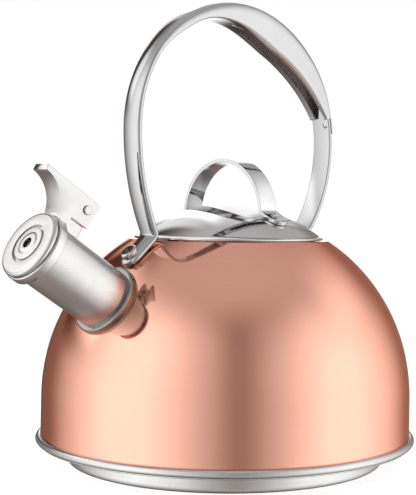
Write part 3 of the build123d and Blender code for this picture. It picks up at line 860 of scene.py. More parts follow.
@dataclass(frozen=True)
class Dome:
    """Round shell about the kettle's axis."""

    radius: float
    z: float

    @property
    def centre(self) -> Pair:
        """Its centre on a board through the axis."""
        return (0.0, self.z)

    def rise_at(self, reach: float, wall: float = 0.0) -> float:
        """Height above the centre, of its face or of the inside under a wall."""
        return sqrt((self.radius - wall) ** 2 - reach**2)

    def z_at(self, reach: float, wall: float = 0.0) -> float:
        """Height above the floor, of its face or of the inside under a wall."""
        return self.z + self.rise_at(reach, wall)


KETTLE_DOME = Dome(radius=95.0, z=34.0)


@dataclass(frozen=True)
class Foot:
    """Place on a dome where a strap is fastened, on the side of positive across."""

    dome: Dome
    reach: float

    @property
    def place(self) -> Pair:
        """The fastener's place."""
        return (self.reach, self.dome.z_at(self.reach))

    @property
    def normal(self) -> Pair:
        """Outward direction of the dome."""
        return (self.reach / self.dome.radius, self.dome.rise_at(self.reach) / self.dome.radius)

    @property
    def slope(self) -> Pair:
        """Direction down the dome."""
        return (self.normal[1], -self.normal[0])

    def boards(self, plane: Board) -> tuple[Board, Board]:
        """Boards at both fasteners: across runs down the slope, up is the normal.

        Args:
            plane: Plane of the strap's line.

        Returns:
            The board on the side of negative across, and the other.
        """
        points = (self.place, self.slope, self.normal)
        return tuple(
            Board(*(plane.across * sign * point[0] + plane.up * point[1] for point in points))
            for sign in (-1, 1)
        )

    def bend(self, bend_r: float, leg_centre: Pair, leg_r: float) -> list[Step]:
        """Line from the fastener through the foot's bend to the leg.

        Args:
            bend_r: Radius of the bend.
            leg_centre: Centre of the leg's arc.
            leg_r: Radius of the leg's arc.

        Returns:
            A point and an arc, tangent to the foot and to the leg.
        """
        over = along(self.place, self.normal, bend_r)
        away = (over[0] - leg_centre[0], over[1] - leg_centre[1])
        down = away[0] * self.slope[0] + away[1] * self.slope[1]
        back = sqrt(down**2 - away[0] ** 2 - away[1] ** 2 + (leg_r + bend_r) ** 2) - down
        start = along(self.place, self.slope, back)
        centre = along(start, self.normal, bend_r)
        return [start, Arc(centre, between(leg_centre, centre, leg_r / (leg_r + bend_r)))]


@dataclass(frozen=True)
class StrapLine:
    """Inner line of a strap from one fastener to the other."""

    plane: Board
    start: Pair
    steps: list[Step]
    feet: tuple[Board, Board]

    end_turn = 16
    end_depth = 0.01

    def at(self, distance: float) -> Board:
        """Board across the line: across lies across the strap, up points outwards.

        Args:
            distance: Way along the line from its start.

        Returns:
            The board.
        """
        here = self.start
        for step in self.steps:
            length = length_of(here, step)
            if distance <= length or step is self.steps[-1]:
                break
            distance -= length
            here = end_of(step)
        share = distance / length
        if isinstance(step, Arc):
            turn = step.turn_from(here)
            angle = step.bearing(here) + turn * share
            place = on_circle(step.centre, step.radius, angle)
            sense = 1 if turn > 0 else -1
            way = (-sin(angle) * sense, cos(angle) * sense)
        else:
            place = between(here, step, share)
            way = ((step[0] - here[0]) / length, (step[1] - here[1]) / length)
        plane = self.plane
        out = plane.across * -way[1] + plane.up * way[0]
        return Board(plane.place(place) / MM, -plane.normal, out)

    def length_to(self, count: int) -> float:
        """Length of the first steps.

        Args:
            count: Number of steps.

        Returns:
            Their length.
        """
        here = self.start
        total = 0.0
        for step in self.steps[:count]:
            total += length_of(here, step)
            here = end_of(step)
        return total

    def strap(self, name: str, section: StrapSection) -> Piece:
        """Strap along the line, with a half-round end about each fastener.

        Args:
            name: Name of the piece.
            section: Section of the strap.

        Returns:
            The piece.
        """
        first, last = self.feet
        start, outline = section.steps()
        pen = Pen(name, Board(first.origin, -self.plane.normal, first.up), start).walk(outline)
        pen.follow(self.plane, self.start, self.steps)
        for foot in (last, first):
            self._round_end(pen.piece, foot)
        close_mesh()
        return smooth(pen.piece)

    def _round_end(self, piece: Piece, foot: Board) -> None:
        """Spins half of an end section round its fastener.

        Args:
            piece: The strap in edit mode.
            foot: Board at the fastener.
        """
        centre = foot.origin * MM
        across = -self.plane.normal

        def on_end(place: Vector) -> bool:
            """Picks the vertices of that half.

            Args:
                place: Place of a vertex.

            Returns:
                Whether it is on the end section, in that half.
            """
            away = place - centre
            level = abs(away.dot(foot.across)) < WELD and abs(away.dot(foot.up)) < self.end_depth
            return level and away.dot(across) > -WELD

        pick(piece, on_end)
        sense = 1 if foot.up.dot(across.cross(foot.across)) > 0 else -1
        bpy.ops.mesh.spin(steps=self.end_turn, angle=-sense * pi, center=centre, axis=foot.up)


def stud(
    board: Board, shank_r: float, head_r: float, low: float, seat: float, rise: float
) -> Piece:
    """Rivet with a domed head, and a flat one at its other end.

    Args:
        board: Board at the rivet: across is a radius, up runs along the rivet.
        shank_r: Radius of the shank.
        head_r: Radius of the heads.
        low: Where the lower head touches.
        seat: Where the upper head touches.
        rise: Height of the heads.

    Returns:
        The piece.
    """
    dome_r = (head_r**2 + rise**2) / (2 * rise)
    top = seat + rise
    steps = [(head_r, low - rise), (head_r, low), (shank_r, low), (shank_r, seat), (head_r, seat)]
    pen = Pen("stud", board, (0.0, low - rise)).walk(steps)
    return pen.walk([Arc((0.0, top - dome_r), (0.0, top))]).turned(board.up, PIN_TURN)


# Sub-assemblies

Dressed = tuple[Piece, Finish, str]


class Assembly:
    """Sub-assembly whose pieces move with one body."""

    rides = Body.KETTLE
    kept: tuple[str, ...] = ()
    kept_finish = Finish.POLISHED

    def pieces(self) -> Iterator[Dressed]:
        """Builds each piece, with its finish and the CAD node that it stands for."""
        raise NotImplementedError

    def build(self, wardrobe: Wardrobe) -> None:
        """Builds and dresses the pieces, and dresses the CAD nodes that are kept.

        Args:
            wardrobe: Finishes.
        """
        for piece, finish, node in self.pieces():
            wardrobe.dress(piece, finish, self.rides, node)
        for node in self.kept:
            wardrobe.dress_node(node, self.kept_finish)


@dataclass
class Spout(Assembly):
    """Spout tube with its trim ring, and the hinge lug on it."""

    tilt: float = SPOUT_TILT
    axis_z: float = 35.0
    radius: float = 15.0
    wall: float = 1.0
    inner_s: float = 89.5
    end_s: float = 141.765
    ring_r: float = 17.6
    ring_s: float = 96.38
    ring_edge: float = 1.0
    bore_s: float = 47.5
    dome: Dome = KETTLE_DOME
    pin_s: float = 130.465
    pin_h: float = 28.0
    pin_r: float = 1.6
    pin_head_r: float = 2.3
    pin_head_h: float = 0.8
    pin_head_edge: float = 0.45
    pin_half: float = 5.7
    ear_r: float = 3.2
    ear_t: float = 1.4
    lug_w: float = 8.0
    lug_front: float = 6.0
    lug_step_h: float = 19.9
    lug_floor_h: float = 17.4
    lug_sink: float = 2.0
    lug_edge: float = 0.4
    coil_r: float = 2.45
    coil_pitch: float = 1.12
    coil_turns: float = 2.75
    coil_front_s: float = 14.8
    coil_gap: float = 0.3
    coil_steps: int = 36
    wire_r: float = 0.3
    wire_sides: int = 12

    # Share of the wire's radius, and depth, within which a vertex is on the wire's end
    end_reach = 1.2
    end_depth = 0.02

    @property
    def board(self) -> Board:
        """Board along the spout: across is the way out, up is away from its axis."""
        run, rise = cos(radians(self.tilt)), sin(radians(self.tilt))
        return Board(Z_AXIS * self.axis_z, Vector((-run, 0, rise)), Vector((rise, 0, run)))

    @property
    def pin_board(self) -> Board:
        """Board through the pin: across is a radius, up runs along the pin."""
        return Board(self.board.place((self.pin_s, self.pin_h)) / MM, self.board.up, Y_AXIS)

    def turned(self, name: str, steps: list[Step], angle: float | None = None) -> Piece:
        """Piece turned about the spout's axis, from an outline that ends where it starts."""
        pen = Pen(name, self.board, end_of(steps[-1])).walk(steps)
        return pen.turned(self.board.across, TUBE_TURN, angle)

    def barrel_tool(self, radius: float, low: float, high: float) -> Piece:
        """Round shape along the spout to cut with, from one place to another."""
        steps = [(low, radius), (high, radius), (high, 0.0)]
        return Pen("tool", self.board, (low, 0.0)).walk(steps).turned(self.board.across, TUBE_TURN)

    def bore_tool(self) -> Piece:
        """Shape of the hole in the dome."""
        return self.barrel_tool(self.radius, self.bore_s, self.ring_s)

    def pin_tool(self, radius: float, half: float) -> Piece:
        """Round shape along the pin to cut with, of half a length each way."""
        steps = [(radius, -half), (radius, half), (0.0, half)]
        return Pen("tool", self.pin_board, (0.0, -half)).walk(steps).turned(Y_AXIS, PIN_TURN)

    def build_tube(self) -> Piece:
        """Round tube with rounded lips at its mouth.

        Returns:
            The piece.
        """
        outer, bore, lip = self.radius, self.radius - self.wall, self.wall / 2
        start = self.end_s - lip
        middle = (start, outer - lip)
        arcs = [Arc(middle, (self.end_s, outer - lip)), Arc(middle, (start, bore))]
        steps = [(start, outer), *arcs, (self.inner_s, bore), (self.inner_s, outer)]
        return self.turned("spout_barrel", steps, angle=40)

    def build_ring(self) -> Piece:
        """Trim ring round the spout's root, fitted to the dome.

        Returns:
            The piece.
        """
        front, outer, edge, dome = self.ring_s, self.ring_r, self.ring_edge, self.dome
        ring = self.turned("root_ring", [
            (front, self.radius), (front, outer - edge),
            Arc((front - edge, outer - edge), (front - edge, outer)),
            (self.inner_s, outer), (self.inner_s, self.radius),
        ])
        top = (0.0, dome.z + dome.radius)
        steps = [Arc(dome.centre, (dome.radius, dome.z)), dome.centre, top]
        cut_away(ring, Pen("tool", SIDE, top).walk(steps).turned(Z_AXIS, WIDE_TURN))
        return smooth(ring)

    def build_lug(self) -> Piece:
        """Lug on the spout with two ears for the pin.

        Returns:
            The piece.
        """
        eye, low = (self.pin_s, self.pin_h), self.radius - self.lug_sink
        rear, front = self.pin_s - self.ear_r, self.pin_s + self.lug_front
        reach = hypot(front - eye[0], eye[1] - self.lug_step_h)
        lean = acos(self.ear_r / reach) - asin((eye[1] - self.lug_step_h) / reach)
        pen = Pen("hinge_lug", self.board.shifted(-self.lug_w / 2), (rear, low)).walk([
            (front, low), (front, self.lug_step_h), on_circle(eye, self.ear_r, lean),
            Arc(eye, (eye[0], eye[1] + self.ear_r)), Arc(eye, (rear, eye[1])), (rear, low),
        ])
        lug = pen.thickened(self.lug_w)
        soften(lug, self.lug_edge)
        slot = self.lug_w / 2 - self.ear_t
        least, most = (TOOL_NEAR, self.lug_floor_h, -slot), (TOOL_FAR, TOOL_HIGH, slot)
        cut_away(lug, block(self.board, least, most))
        cut_away(lug, self.barrel_tool(self.radius, TOOL_NEAR, self.end_s))
        cut_away(lug, self.pin_tool(self.pin_r, self.lug_w))
        return smooth(lug, angle=25)

    def build_pin(self) -> Piece:
        """Rivet with a rounded head outside each side of the lever.

        Returns:
            The piece.
        """
        shank, head, half = self.pin_r, self.pin_head_r, self.pin_half
        top = half + self.pin_head_h
        brim, edge_z = head - self.pin_head_edge, top - self.pin_head_edge
        pen = Pen("pivot_pin", self.pin_board, (0.0, -top)).walk([
            (brim, -top), Arc((brim, -edge_z), (head, -edge_z)), (head, -half), (shank, -half),
            (shank, half), (head, half), (head, edge_z), Arc((brim, edge_z), (brim, top)),
            (0.0, top),
        ])
        return pen.turned(Y_AXIS, PIN_TURN, angle=30)

    def _on_wire_end(self, away: Vector, way: Vector) -> bool:
        """Whether a vertex away from the middle of the wire's end is on that end."""
        near = away.length < self.end_reach * self.wire_r * MM
        return near and abs(away.dot(way)) < self.end_depth * MM

    def build_coil(self) -> Piece:
        """Torsion spring: a coil round the pin, with a leg forward and a leg down.

        Returns:
            The piece.
        """
        circle = {"vertices": self.wire_sides, "radius": self.wire_r * MM}
        coil = started("trigger_coil", bpy.ops.mesh.primitive_circle_add, **circle)
        bpy.ops.object.mode_set(mode="EDIT")
        bpy.ops.mesh.select_all(action="SELECT")
        bpy.ops.transform.rotate(value=pi / 2, orient_axis="X", center_override=(0, 0, 0))
        bpy.ops.transform.translate(value=X_AXIS * self.coil_r * MM)
        bpy.ops.object.mode_set(mode="OBJECT")
        rise, turn = self.coil_pitch * self.coil_turns, -ROUND * self.coil_turns
        steps = int(self.coil_steps * self.coil_turns)
        apply(
            coil, "SCREW", axis="Z", angle=turn, screw_offset=rise * MM, steps=steps,
            render_steps=steps, use_normal_calculate=True,
        )
        bpy.ops.object.mode_set(mode="EDIT")
        last = Vector((self.coil_r * cos(turn), self.coil_r * sin(turn), rise))
        down = self.pin_h - self.lug_floor_h - self.coil_gap
        for place, way, length in (
            (X_AXIS * self.coil_r, Y_AXIS, self.coil_front_s),
            (last, Vector((sin(turn), -cos(turn), 0)), down),
        ):
            pick(coil, lambda spot: self._on_wire_end(spot - place * MM, way))
            bpy.ops.mesh.extrude_region_move(TRANSFORM_OT_translate={"value": way * length * MM})
            bpy.ops.mesh.edge_face_add()
        close_mesh()
        turn_in = Matrix((-self.board.up, self.board.across, Y_AXIS)).transposed()
        middle = self.pin_board.origin * MM - Y_AXIS * rise / 2 * MM
        coil.data.transform(Matrix.Translation(middle) @ turn_in.to_4x4())
        return smooth(coil, angle=60)

    def pieces(self) -> Iterator[Dressed]:
        """Builds each piece, with its finish and the CAD node that it stands for.

        Yields:
            Pieces to dress.
        """
        yield self.build_tube(), Finish.SPOUT, "spout_tube"
        yield self.build_ring(), Finish.COLLAR, "spout_collar"
        yield self.build_lug(), Finish.POLISHED, "hinge_bracket"
        yield self.build_pin(), Finish.POLISHED, "hinge_pin"
        yield self.build_coil(), Finish.SPRING, "return_spring"


@dataclass
class KettleBody(Assembly):
    """Dome, floor with its rolled rim, and base cup."""

    spout: Spout
    dome: Dome = KETTLE_DOME
    wall: float = 0.9
    seam_z: float = 12.4
    floor_z: float = 10.0
    floor_wall: float = 0.8
    flange: float = 1.2
    bead_r: float = 2.0
    bead_out: float = 0.5
    bead_lip: float = 0.2
    bead_heel: Triple = (0.4, 0.2, 0.8)
    land_r: float = 52.18
    mouth_r: float = 45.48
    mouth_bend: float = 1.0
    neck_depth: float = 8.0
    land_edge: float = 0.5
    cup_r: float = 81.6
    cup_wall: float = 0.7
    cup_edge: float = 3.0
    foot_x: float = 63.38

    kept = ("base_core",)
    kept_finish = Finish.ALUMINIUM

    @property
    def foot(self) -> Foot:
        """Where a leg of the handle is fastened."""
        return Foot(self.dome, self.foot_x)

    def build_dome(self) -> Piece:
        """Dome with flange, land, neck and the hole for the spout.

        Returns:
            The piece.
        """
        dome, wall, mouth, bend = self.dome, self.wall, self.mouth_r, self.mouth_bend
        outer, inner, flange = dome.radius, dome.radius - wall, dome.radius + self.flange
        low, high = self.seam_z - wall / 2, self.seam_z + wall / 2
        land_z = dome.z_at(self.land_r)
        in_z, neck_z = land_z - wall, land_z - self.neck_depth
        pen = Pen("kettle_dome", SIDE, (inner, low)).walk([
            (flange, low), (flange, high), (outer, high), (outer, dome.z),
            Arc(dome.centre, (self.land_r, land_z)),
            (self.land_r - self.land_edge, land_z), (mouth + bend, land_z),
            Arc((mouth + bend, land_z - bend), (mouth, land_z - bend)),
            (mouth, neck_z), (mouth + wall, neck_z), (mouth + wall, in_z),
            (sqrt(inner**2 - (in_z - dome.z) ** 2), in_z),
            Arc(dome.centre, (inner, dome.z)),
            (inner, low),
        ])
        shell = pen.turned(Z_AXIS, WIDE_TURN)
        cut_away(shell, self.spout.bore_tool())
        return smooth(shell, angle=30)

    def build_floor(self) -> Piece:
        """Floor of the kettle, its rim rolled into a bead round the dome's flange.

        Returns:
            The piece.
        """
        x, z, roll, lip = self.dome.radius + self.bead_out, self.seam_z, self.bead_r, self.bead_lip
        heel_x, heel_z, heel_end = self.bead_heel
        top, under = self.floor_z + self.floor_wall, self.dome.radius - roll
        lip_end = (x - sqrt(roll**2 - lip**2), z + lip)
        pen = Pen("rolled_floor", SIDE, (0.0, top)).walk([
            (x - sqrt(roll**2 - (top - z) ** 2), top),
            *(Arc((x, z), end) for end in (lip_end, (x, z + roll), (x + roll, z), (x, z - roll))),
            Arc((x - heel_x, z - roll - heel_z), (x - heel_end, self.floor_z)),
            (under, self.floor_z), (0.0, self.floor_z),
        ])
        return pen.turned(Z_AXIS, WIDE_TURN, angle=50)

    def build_cup(self) -> Piece:
        """Steel cup under the floor, with a rounded lower edge.

        Returns:
            The piece.
        """
        outer, wall, edge = self.cup_r, self.cup_wall, self.cup_edge
        inner, flat = outer - wall, outer - wall - (edge - wall)
        pen = Pen("base_cup", SIDE, (0.0, 0.0)).walk([
            (outer - edge, 0.0), Arc((outer - edge, edge), (outer, edge)), (outer, self.floor_z),
            (inner, self.floor_z), (inner, edge), Arc((flat, edge), (flat, wall)), (0.0, wall),
        ])
        return pen.turned(Z_AXIS, WIDE_TURN, angle=40)

    def pieces(self) -> Iterator[Dressed]:
        """Builds each piece, with its finish and the CAD node that it stands for.

        Yields:
            Pieces to dress.
        """
        yield self.build_dome(), Finish.COPPER, "body_shell"
        yield self.build_floor(), Finish.SATIN, "base_pan"
        yield self.build_cup(), Finish.SATIN, "base_capsule"


@dataclass
class Whistle(Assembly):
    """Whistle cap on the spout's end, opened by a trigger lever."""

    spout: Spout
    cap_r: float = 17.3
    bore_r: float = 15.9
    band_s: Pair = (139.365, 144.065)
    band_edge: float = 0.8
    band_break: float = 0.4
    plate_s: Pair = (142.065, 142.865)
    plate_hole_r: float = 1.9
    plate_lip: float = 0.2
    face_r: float = 16.7
    face_rear_s: float = 144.965
    face_s: float = 147.065
    face_edge: float = 1.7
    face_back_s: float = 144.065
    face_lip: float = 0.3
    ring_r: Pair = (8.5, 9.6)
    ring_depth: float = 1.2
    ring_break: float = 0.4
    hub_r: float = 5.0
    hub_slope: float = 0.8
    hub_out: float = 0.5
    hub_break: Pair = (0.1, 0.15)
    hole_r: float = 2.5
    lever_w: float = 11.0
    pin_play: float = 0.06
    lever_side: float = 1.3
    lever_wall: float = 1.5
    lever_floor: float = 1.3
    lever_top: float = 16.6
    lever_rear: float = 5.3
    lever_heel: float = 3.8
    lever_edge: float = 0.7
    lever_edge_faces: int = 4
    notch_h: float = 3.2
    notch_ahead: float = 6.4
    tip_ahead: float = 29.3
    tip_t: float = 3.0
    tip_lip: float = 4.0
    finger_r: float = 16.4
    toe_ahead: float = 13.1
    corner_r: float = 2.0

    rides = Body.WHISTLE

    def build_band(self) -> Piece:
        """Ring over the spout's end with rounded edges.

        Returns:
            The piece.
        """
        rear, front = self.band_s
        outer, bore, edge, small = self.cap_r, self.bore_r, self.band_edge, self.band_break
        return self.spout.turned("cap_band", [
            (front - small, bore), (front, bore + small / 2), (front, outer - edge),
            Arc((front - edge, outer - edge), (front - edge, outer)), (rear + small, outer),
            Arc((rear + small, outer - small), (rear, outer - small)), (rear, bore),
        ], angle=40)

    def build_face(self) -> Piece:
        """Front disc: rounded edge, ring groove, raised boss with the hole, hollow behind.

        Returns:
            The piece.
        """
        front, back, rear = self.face_s, self.face_rear_s, self.plate_s[1]
        rim, edge, lip, hole = self.face_r, self.face_edge, self.face_lip, self.hole_r
        (inner, outer), groove, brim = self.ring_r, front - self.ring_depth, self.ring_break
        hub, hub_r, (drop, slope) = front + self.hub_out, self.hub_r, self.hub_break
        return self.spout.turned("cap_face", [
            (rear, self.bore_r), (back, self.bore_r), (back, rim - lip),
            Arc((back + lip, rim - lip), (back + lip, rim)), (front - edge, rim),
            Arc((front - edge, rim - edge), (front, rim - edge)), (front, outer + lip),
            Arc((front - lip, outer + lip), (front - lip, outer)),
            (groove, outer), (groove, inner), (front - brim, inner),
            Arc((front - brim, inner - brim), (front, inner - brim)),
            (front, hub_r + self.hub_slope), (hub - drop, hub_r + slope), (hub, hub_r - slope),
            (hub, hole + lip), Arc((hub - lip, hole + lip), (hub - lip, hole)),
            (self.face_back_s, hole), (self.face_back_s, inner), (rear, inner),
        ], angle=30)

    def build_plate(self) -> Piece:
        """Inner plate of the whistle with its own hole.

        Returns:
            The piece.
        """
        (rear, front), lip, hole = self.plate_s, self.plate_lip, self.plate_hole_r
        return self.spout.turned("cap_plate", [
            (rear, self.bore_r), (front, self.bore_r), (front, hole + lip), (front - lip, hole),
            (rear + lip, hole), (rear, hole + lip),
        ], angle=30)

    def finger(self) -> tuple[Pair, Pair, Pair]:
        """Hollow finger face of the lever.

        Returns:
            Its toe, its tip and its centre.
        """
        pin_s = self.spout.pin_s
        toe = (pin_s + self.toe_ahead, self.spout.radius)
        tip = (pin_s + self.tip_ahead, self.cap_r + self.lever_top - self.tip_t)
        run = (tip[0] - toe[0], tip[1] - toe[1])
        chord = hypot(*run)
        ahead = sqrt(self.finger_r**2 - chord**2 / 4) / chord
        middle = ((tip[0] + toe[0]) / 2, (tip[1] + toe[1]) / 2)
        return toe, tip, (middle[0] + run[1] * ahead, middle[1] - run[0] * ahead)

    def lever_outline(self) -> list[Step]:
        """Outline of the lever along the spout, which ends where it starts.

        Returns:
            Its steps.
        """
        toe, tip, centre = self.finger()
        pin_s, top, notch = self.spout.pin_s, self.cap_r + self.lever_top, self.cap_r + self.notch_h
        rear, heel = pin_s - self.lever_rear, pin_s - self.lever_heel
        notch_s = pin_s + self.notch_ahead
        lean = Vector((heel - rear, notch - top)).normalized()
        inset = self.corner_r * (1 - lean.x) / -lean.y
        corner = Arc((rear + inset, top - self.corner_r), along((rear, top), lean, inset))
        return [
            (rear + inset, top), corner, (heel, notch), (notch_s, notch),
            (notch_s, self.spout.radius), toe, Arc(centre, tip), (tip[0], top),
        ]

    def build_lever(self) -> Piece:
        """Folded lever: hollow finger face, two side plates and a floor on the band.

        Returns:
            The piece.
        """
        board, width, outline = self.spout.board, self.lever_w, self.lever_outline()
        pen = Pen("trigger", board.shifted(-width / 2), end_of(outline[-1])).walk(outline)
        lever = pen.thickened(width)
        soften(lever, self.lever_edge, self.lever_edge_faces)
        _, tip, centre = self.finger()
        inside, floor = width / 2 - self.lever_side, self.cap_r + self.lever_floor
        least, most = (TOOL_NEAR, floor, -inside), (tip[0] - self.tip_lip, TOOL_HIGH, inside)
        hollow = block(board, least, most)
        wall_r = self.finger_r + self.lever_wall
        wall = Pen("tool", Board(board.place(centre) / MM, board.across, Y_AXIS), (0.0, -width))
        wall.walk([(wall_r, -width), (wall_r, width), (0.0, width)])
        cut_away(hollow, wall.turned(Y_AXIS, TUBE_TURN))
        cut_away(lever, hollow)
        cut_away(lever, self.spout.barrel_tool(self.cap_r, TOOL_NEAR, TOOL_FAR))
        cut_away(lever, self.spout.pin_tool(self.spout.pin_r + self.pin_play, width))
        return smooth(lever, angle=25)

    def pieces(self) -> Iterator[Dressed]:
        """Builds each piece, with its finish and the CAD node that it stands for.

        Yields:
            Pieces to dress.
        """
        yield self.build_band(), Finish.WHISTLE, "whistle_band"
        yield self.build_face(), Finish.WHISTLE, "whistle_face"
        yield self.build_plate(), Finish.POLISHED, "whistle_plate"
        yield self.build_lever(), Finish.POLISHED, "trigger_lever"


@dataclass
class Lid(Assembly):
    """Lid with its skirt, strap knob and rivets."""

    radius: float = 49.38
    edge_z: float = 114.387
    rise: float = 17.5
    wall: float = 0.8
    bead_r: float = 0.8
    bead_in: float = 0.75
    skirt_r: float = 44.88
    skirt_wall: float = 0.8
    skirt_z: float = 104.387
    skirt_lip: float = 0.4
    knob_r: float = 29.5
    knob_z: float = 125.987
    knob_bend_r: float = 3.5
    knob_foot: float = 34.5
    rivet_r: float = 1.5
    rivet_head_r: float = 2.4
    rivet_head_h: float = 0.6
    rivet_low: float = -0.86
    rivet_sink: float = 0.1
    section: StrapSection = StrapSection(
        width=11.5, edge=1.8, crown=2.0, corner=0.25, shoulder=0.35
    )

    rides = Body.LID

    @property
    def dome(self) -> Dome:
        """The lid's dome."""
        radius = (self.radius**2 + self.rise**2) / (2 * self.rise)
        return Dome(radius, self.edge_z + self.rise - radius)

    @property
    def foot(self) -> Foot:
        """Where an end of the knob is fastened."""
        return Foot(self.dome, self.knob_foot)

    def build_shell(self) -> Piece:
        """Low dome with a rolled rim.

        Returns:
            The piece.
        """
        dome, wall, roll, z = self.dome, self.wall, self.bead_r, self.edge_z
        x, low = self.radius - roll, self.bead_in * roll
        ends = ((self.radius, z), (x, z - roll), (x - low, z - sqrt(roll**2 - low**2)))
        pen = Pen("lid_dome", SIDE, (0.0, dome.z + dome.radius)).walk([
            Arc(dome.centre, (x, dome.z_at(x))), *(Arc((x, z), end) for end in ends),
            (x - low, dome.z_at(x - low, wall)),
            Arc(dome.centre, (0.0, dome.z + (dome.radius - wall))),
        ])
        return pen.turned(Z_AXIS, WIDE_TURN, angle=50)

    def build_skirt(self) -> Piece:
        """Ring under the lid that centres it in the mouth.

        Returns:
            The piece.
        """
        outer, inner, lip = self.skirt_r, self.skirt_r - self.skirt_wall, self.skirt_lip
        low, bend = self.skirt_z, self.skirt_z + lip
        pen = Pen("lid_skirt_ring", SIDE, (outer, bend)).walk([
            (outer, self.dome.z_at(outer, self.wall)), (inner, self.dome.z_at(inner, self.wall)),
            (inner, bend), Arc((inner + lip, bend), (inner + lip, low)),
            Arc((outer - lip, bend), (outer, bend)),
        ])
        return pen.turned(Z_AXIS, SKIRT_TURN, angle=40)

    def line(self) -> StrapLine:
        """Inner line of the knob, from one foot over the arch to the other.

        Returns:
            The line.
        """
        foot, centre, arch_r = self.foot, (0.0, self.knob_z), self.knob_r - self.section.crown
        top = (0.0, self.knob_z + arch_r)
        half = [*foot.bend(self.knob_bend_r, centre, arch_r), Arc(centre, top)]
        steps = mirrored(half) + reversed_line(foot.place, half)
        return StrapLine(ACROSS, flipped(foot.place), steps, foot.boards(ACROSS))

    def build_studs(self) -> Piece:
        """Rivets through the knob's feet.

        Returns:
            The piece.
        """
        seat = self.section.crown - self.rivet_sink
        sizes = (self.rivet_r, self.rivet_head_r, self.rivet_low, seat, self.rivet_head_h)
        studs = [stud(board, *sizes) for board in self.foot.boards(ACROSS)]
        return smooth(joined("lid_studs", studs))

    def pieces(self) -> Iterator[Dressed]:
        """Builds each piece, with its finish and the CAD node that it stands for.

        Yields:
            Pieces to dress.
        """
        yield self.build_shell(), Finish.LID, "lid_shell"
        yield self.build_skirt(), Finish.SATIN, "lid_skirt"
        yield self.line().strap("lid_knob", self.section), Finish.LID, "lid_strap"
        yield self.build_studs(), Finish.LID, "lid_rivets"


@dataclass(frozen=True)
class Leg:
    """One leg of the handle up to the apex, on the side of positive across."""

    reach: float
    widest_z: float
    leg_r: float
    fullness: float
    apex_x: float
    top_z: float

    def steps(self, foot: Foot, bend_r: float) -> list[Step]:
        """Line from the fastener to the apex.

        Args:
            foot: Where the leg is fastened.
            bend_r: Radius of the foot's bend.

        Returns:
            Points and arcs.
        """
        leg_centre = (self.reach - self.leg_r, self.widest_z)
        across, rise = self.reach - self.apex_x, self.top_z - self.widest_z
        span = across**2 + rise**2
        if across < rise:
            top_r = self.fullness * across
            side_r = (span - 2 * rise * top_r) / (2 * (across - top_r))
        else:
            side_r = self.fullness * rise
            top_r = (span - 2 * across * side_r) / (2 * (rise - side_r))
        side, top = (self.reach - side_r, self.widest_z), (self.apex_x, self.top_z - top_r)
        return [
            *foot.bend(bend_r, leg_centre, self.leg_r),
            Arc(leg_centre, (self.reach, self.widest_z)),
            Arc(side, between(side, top, side_r / (side_r - top_r))),
            Arc(top, (self.apex_x, self.top_z)),
        ]


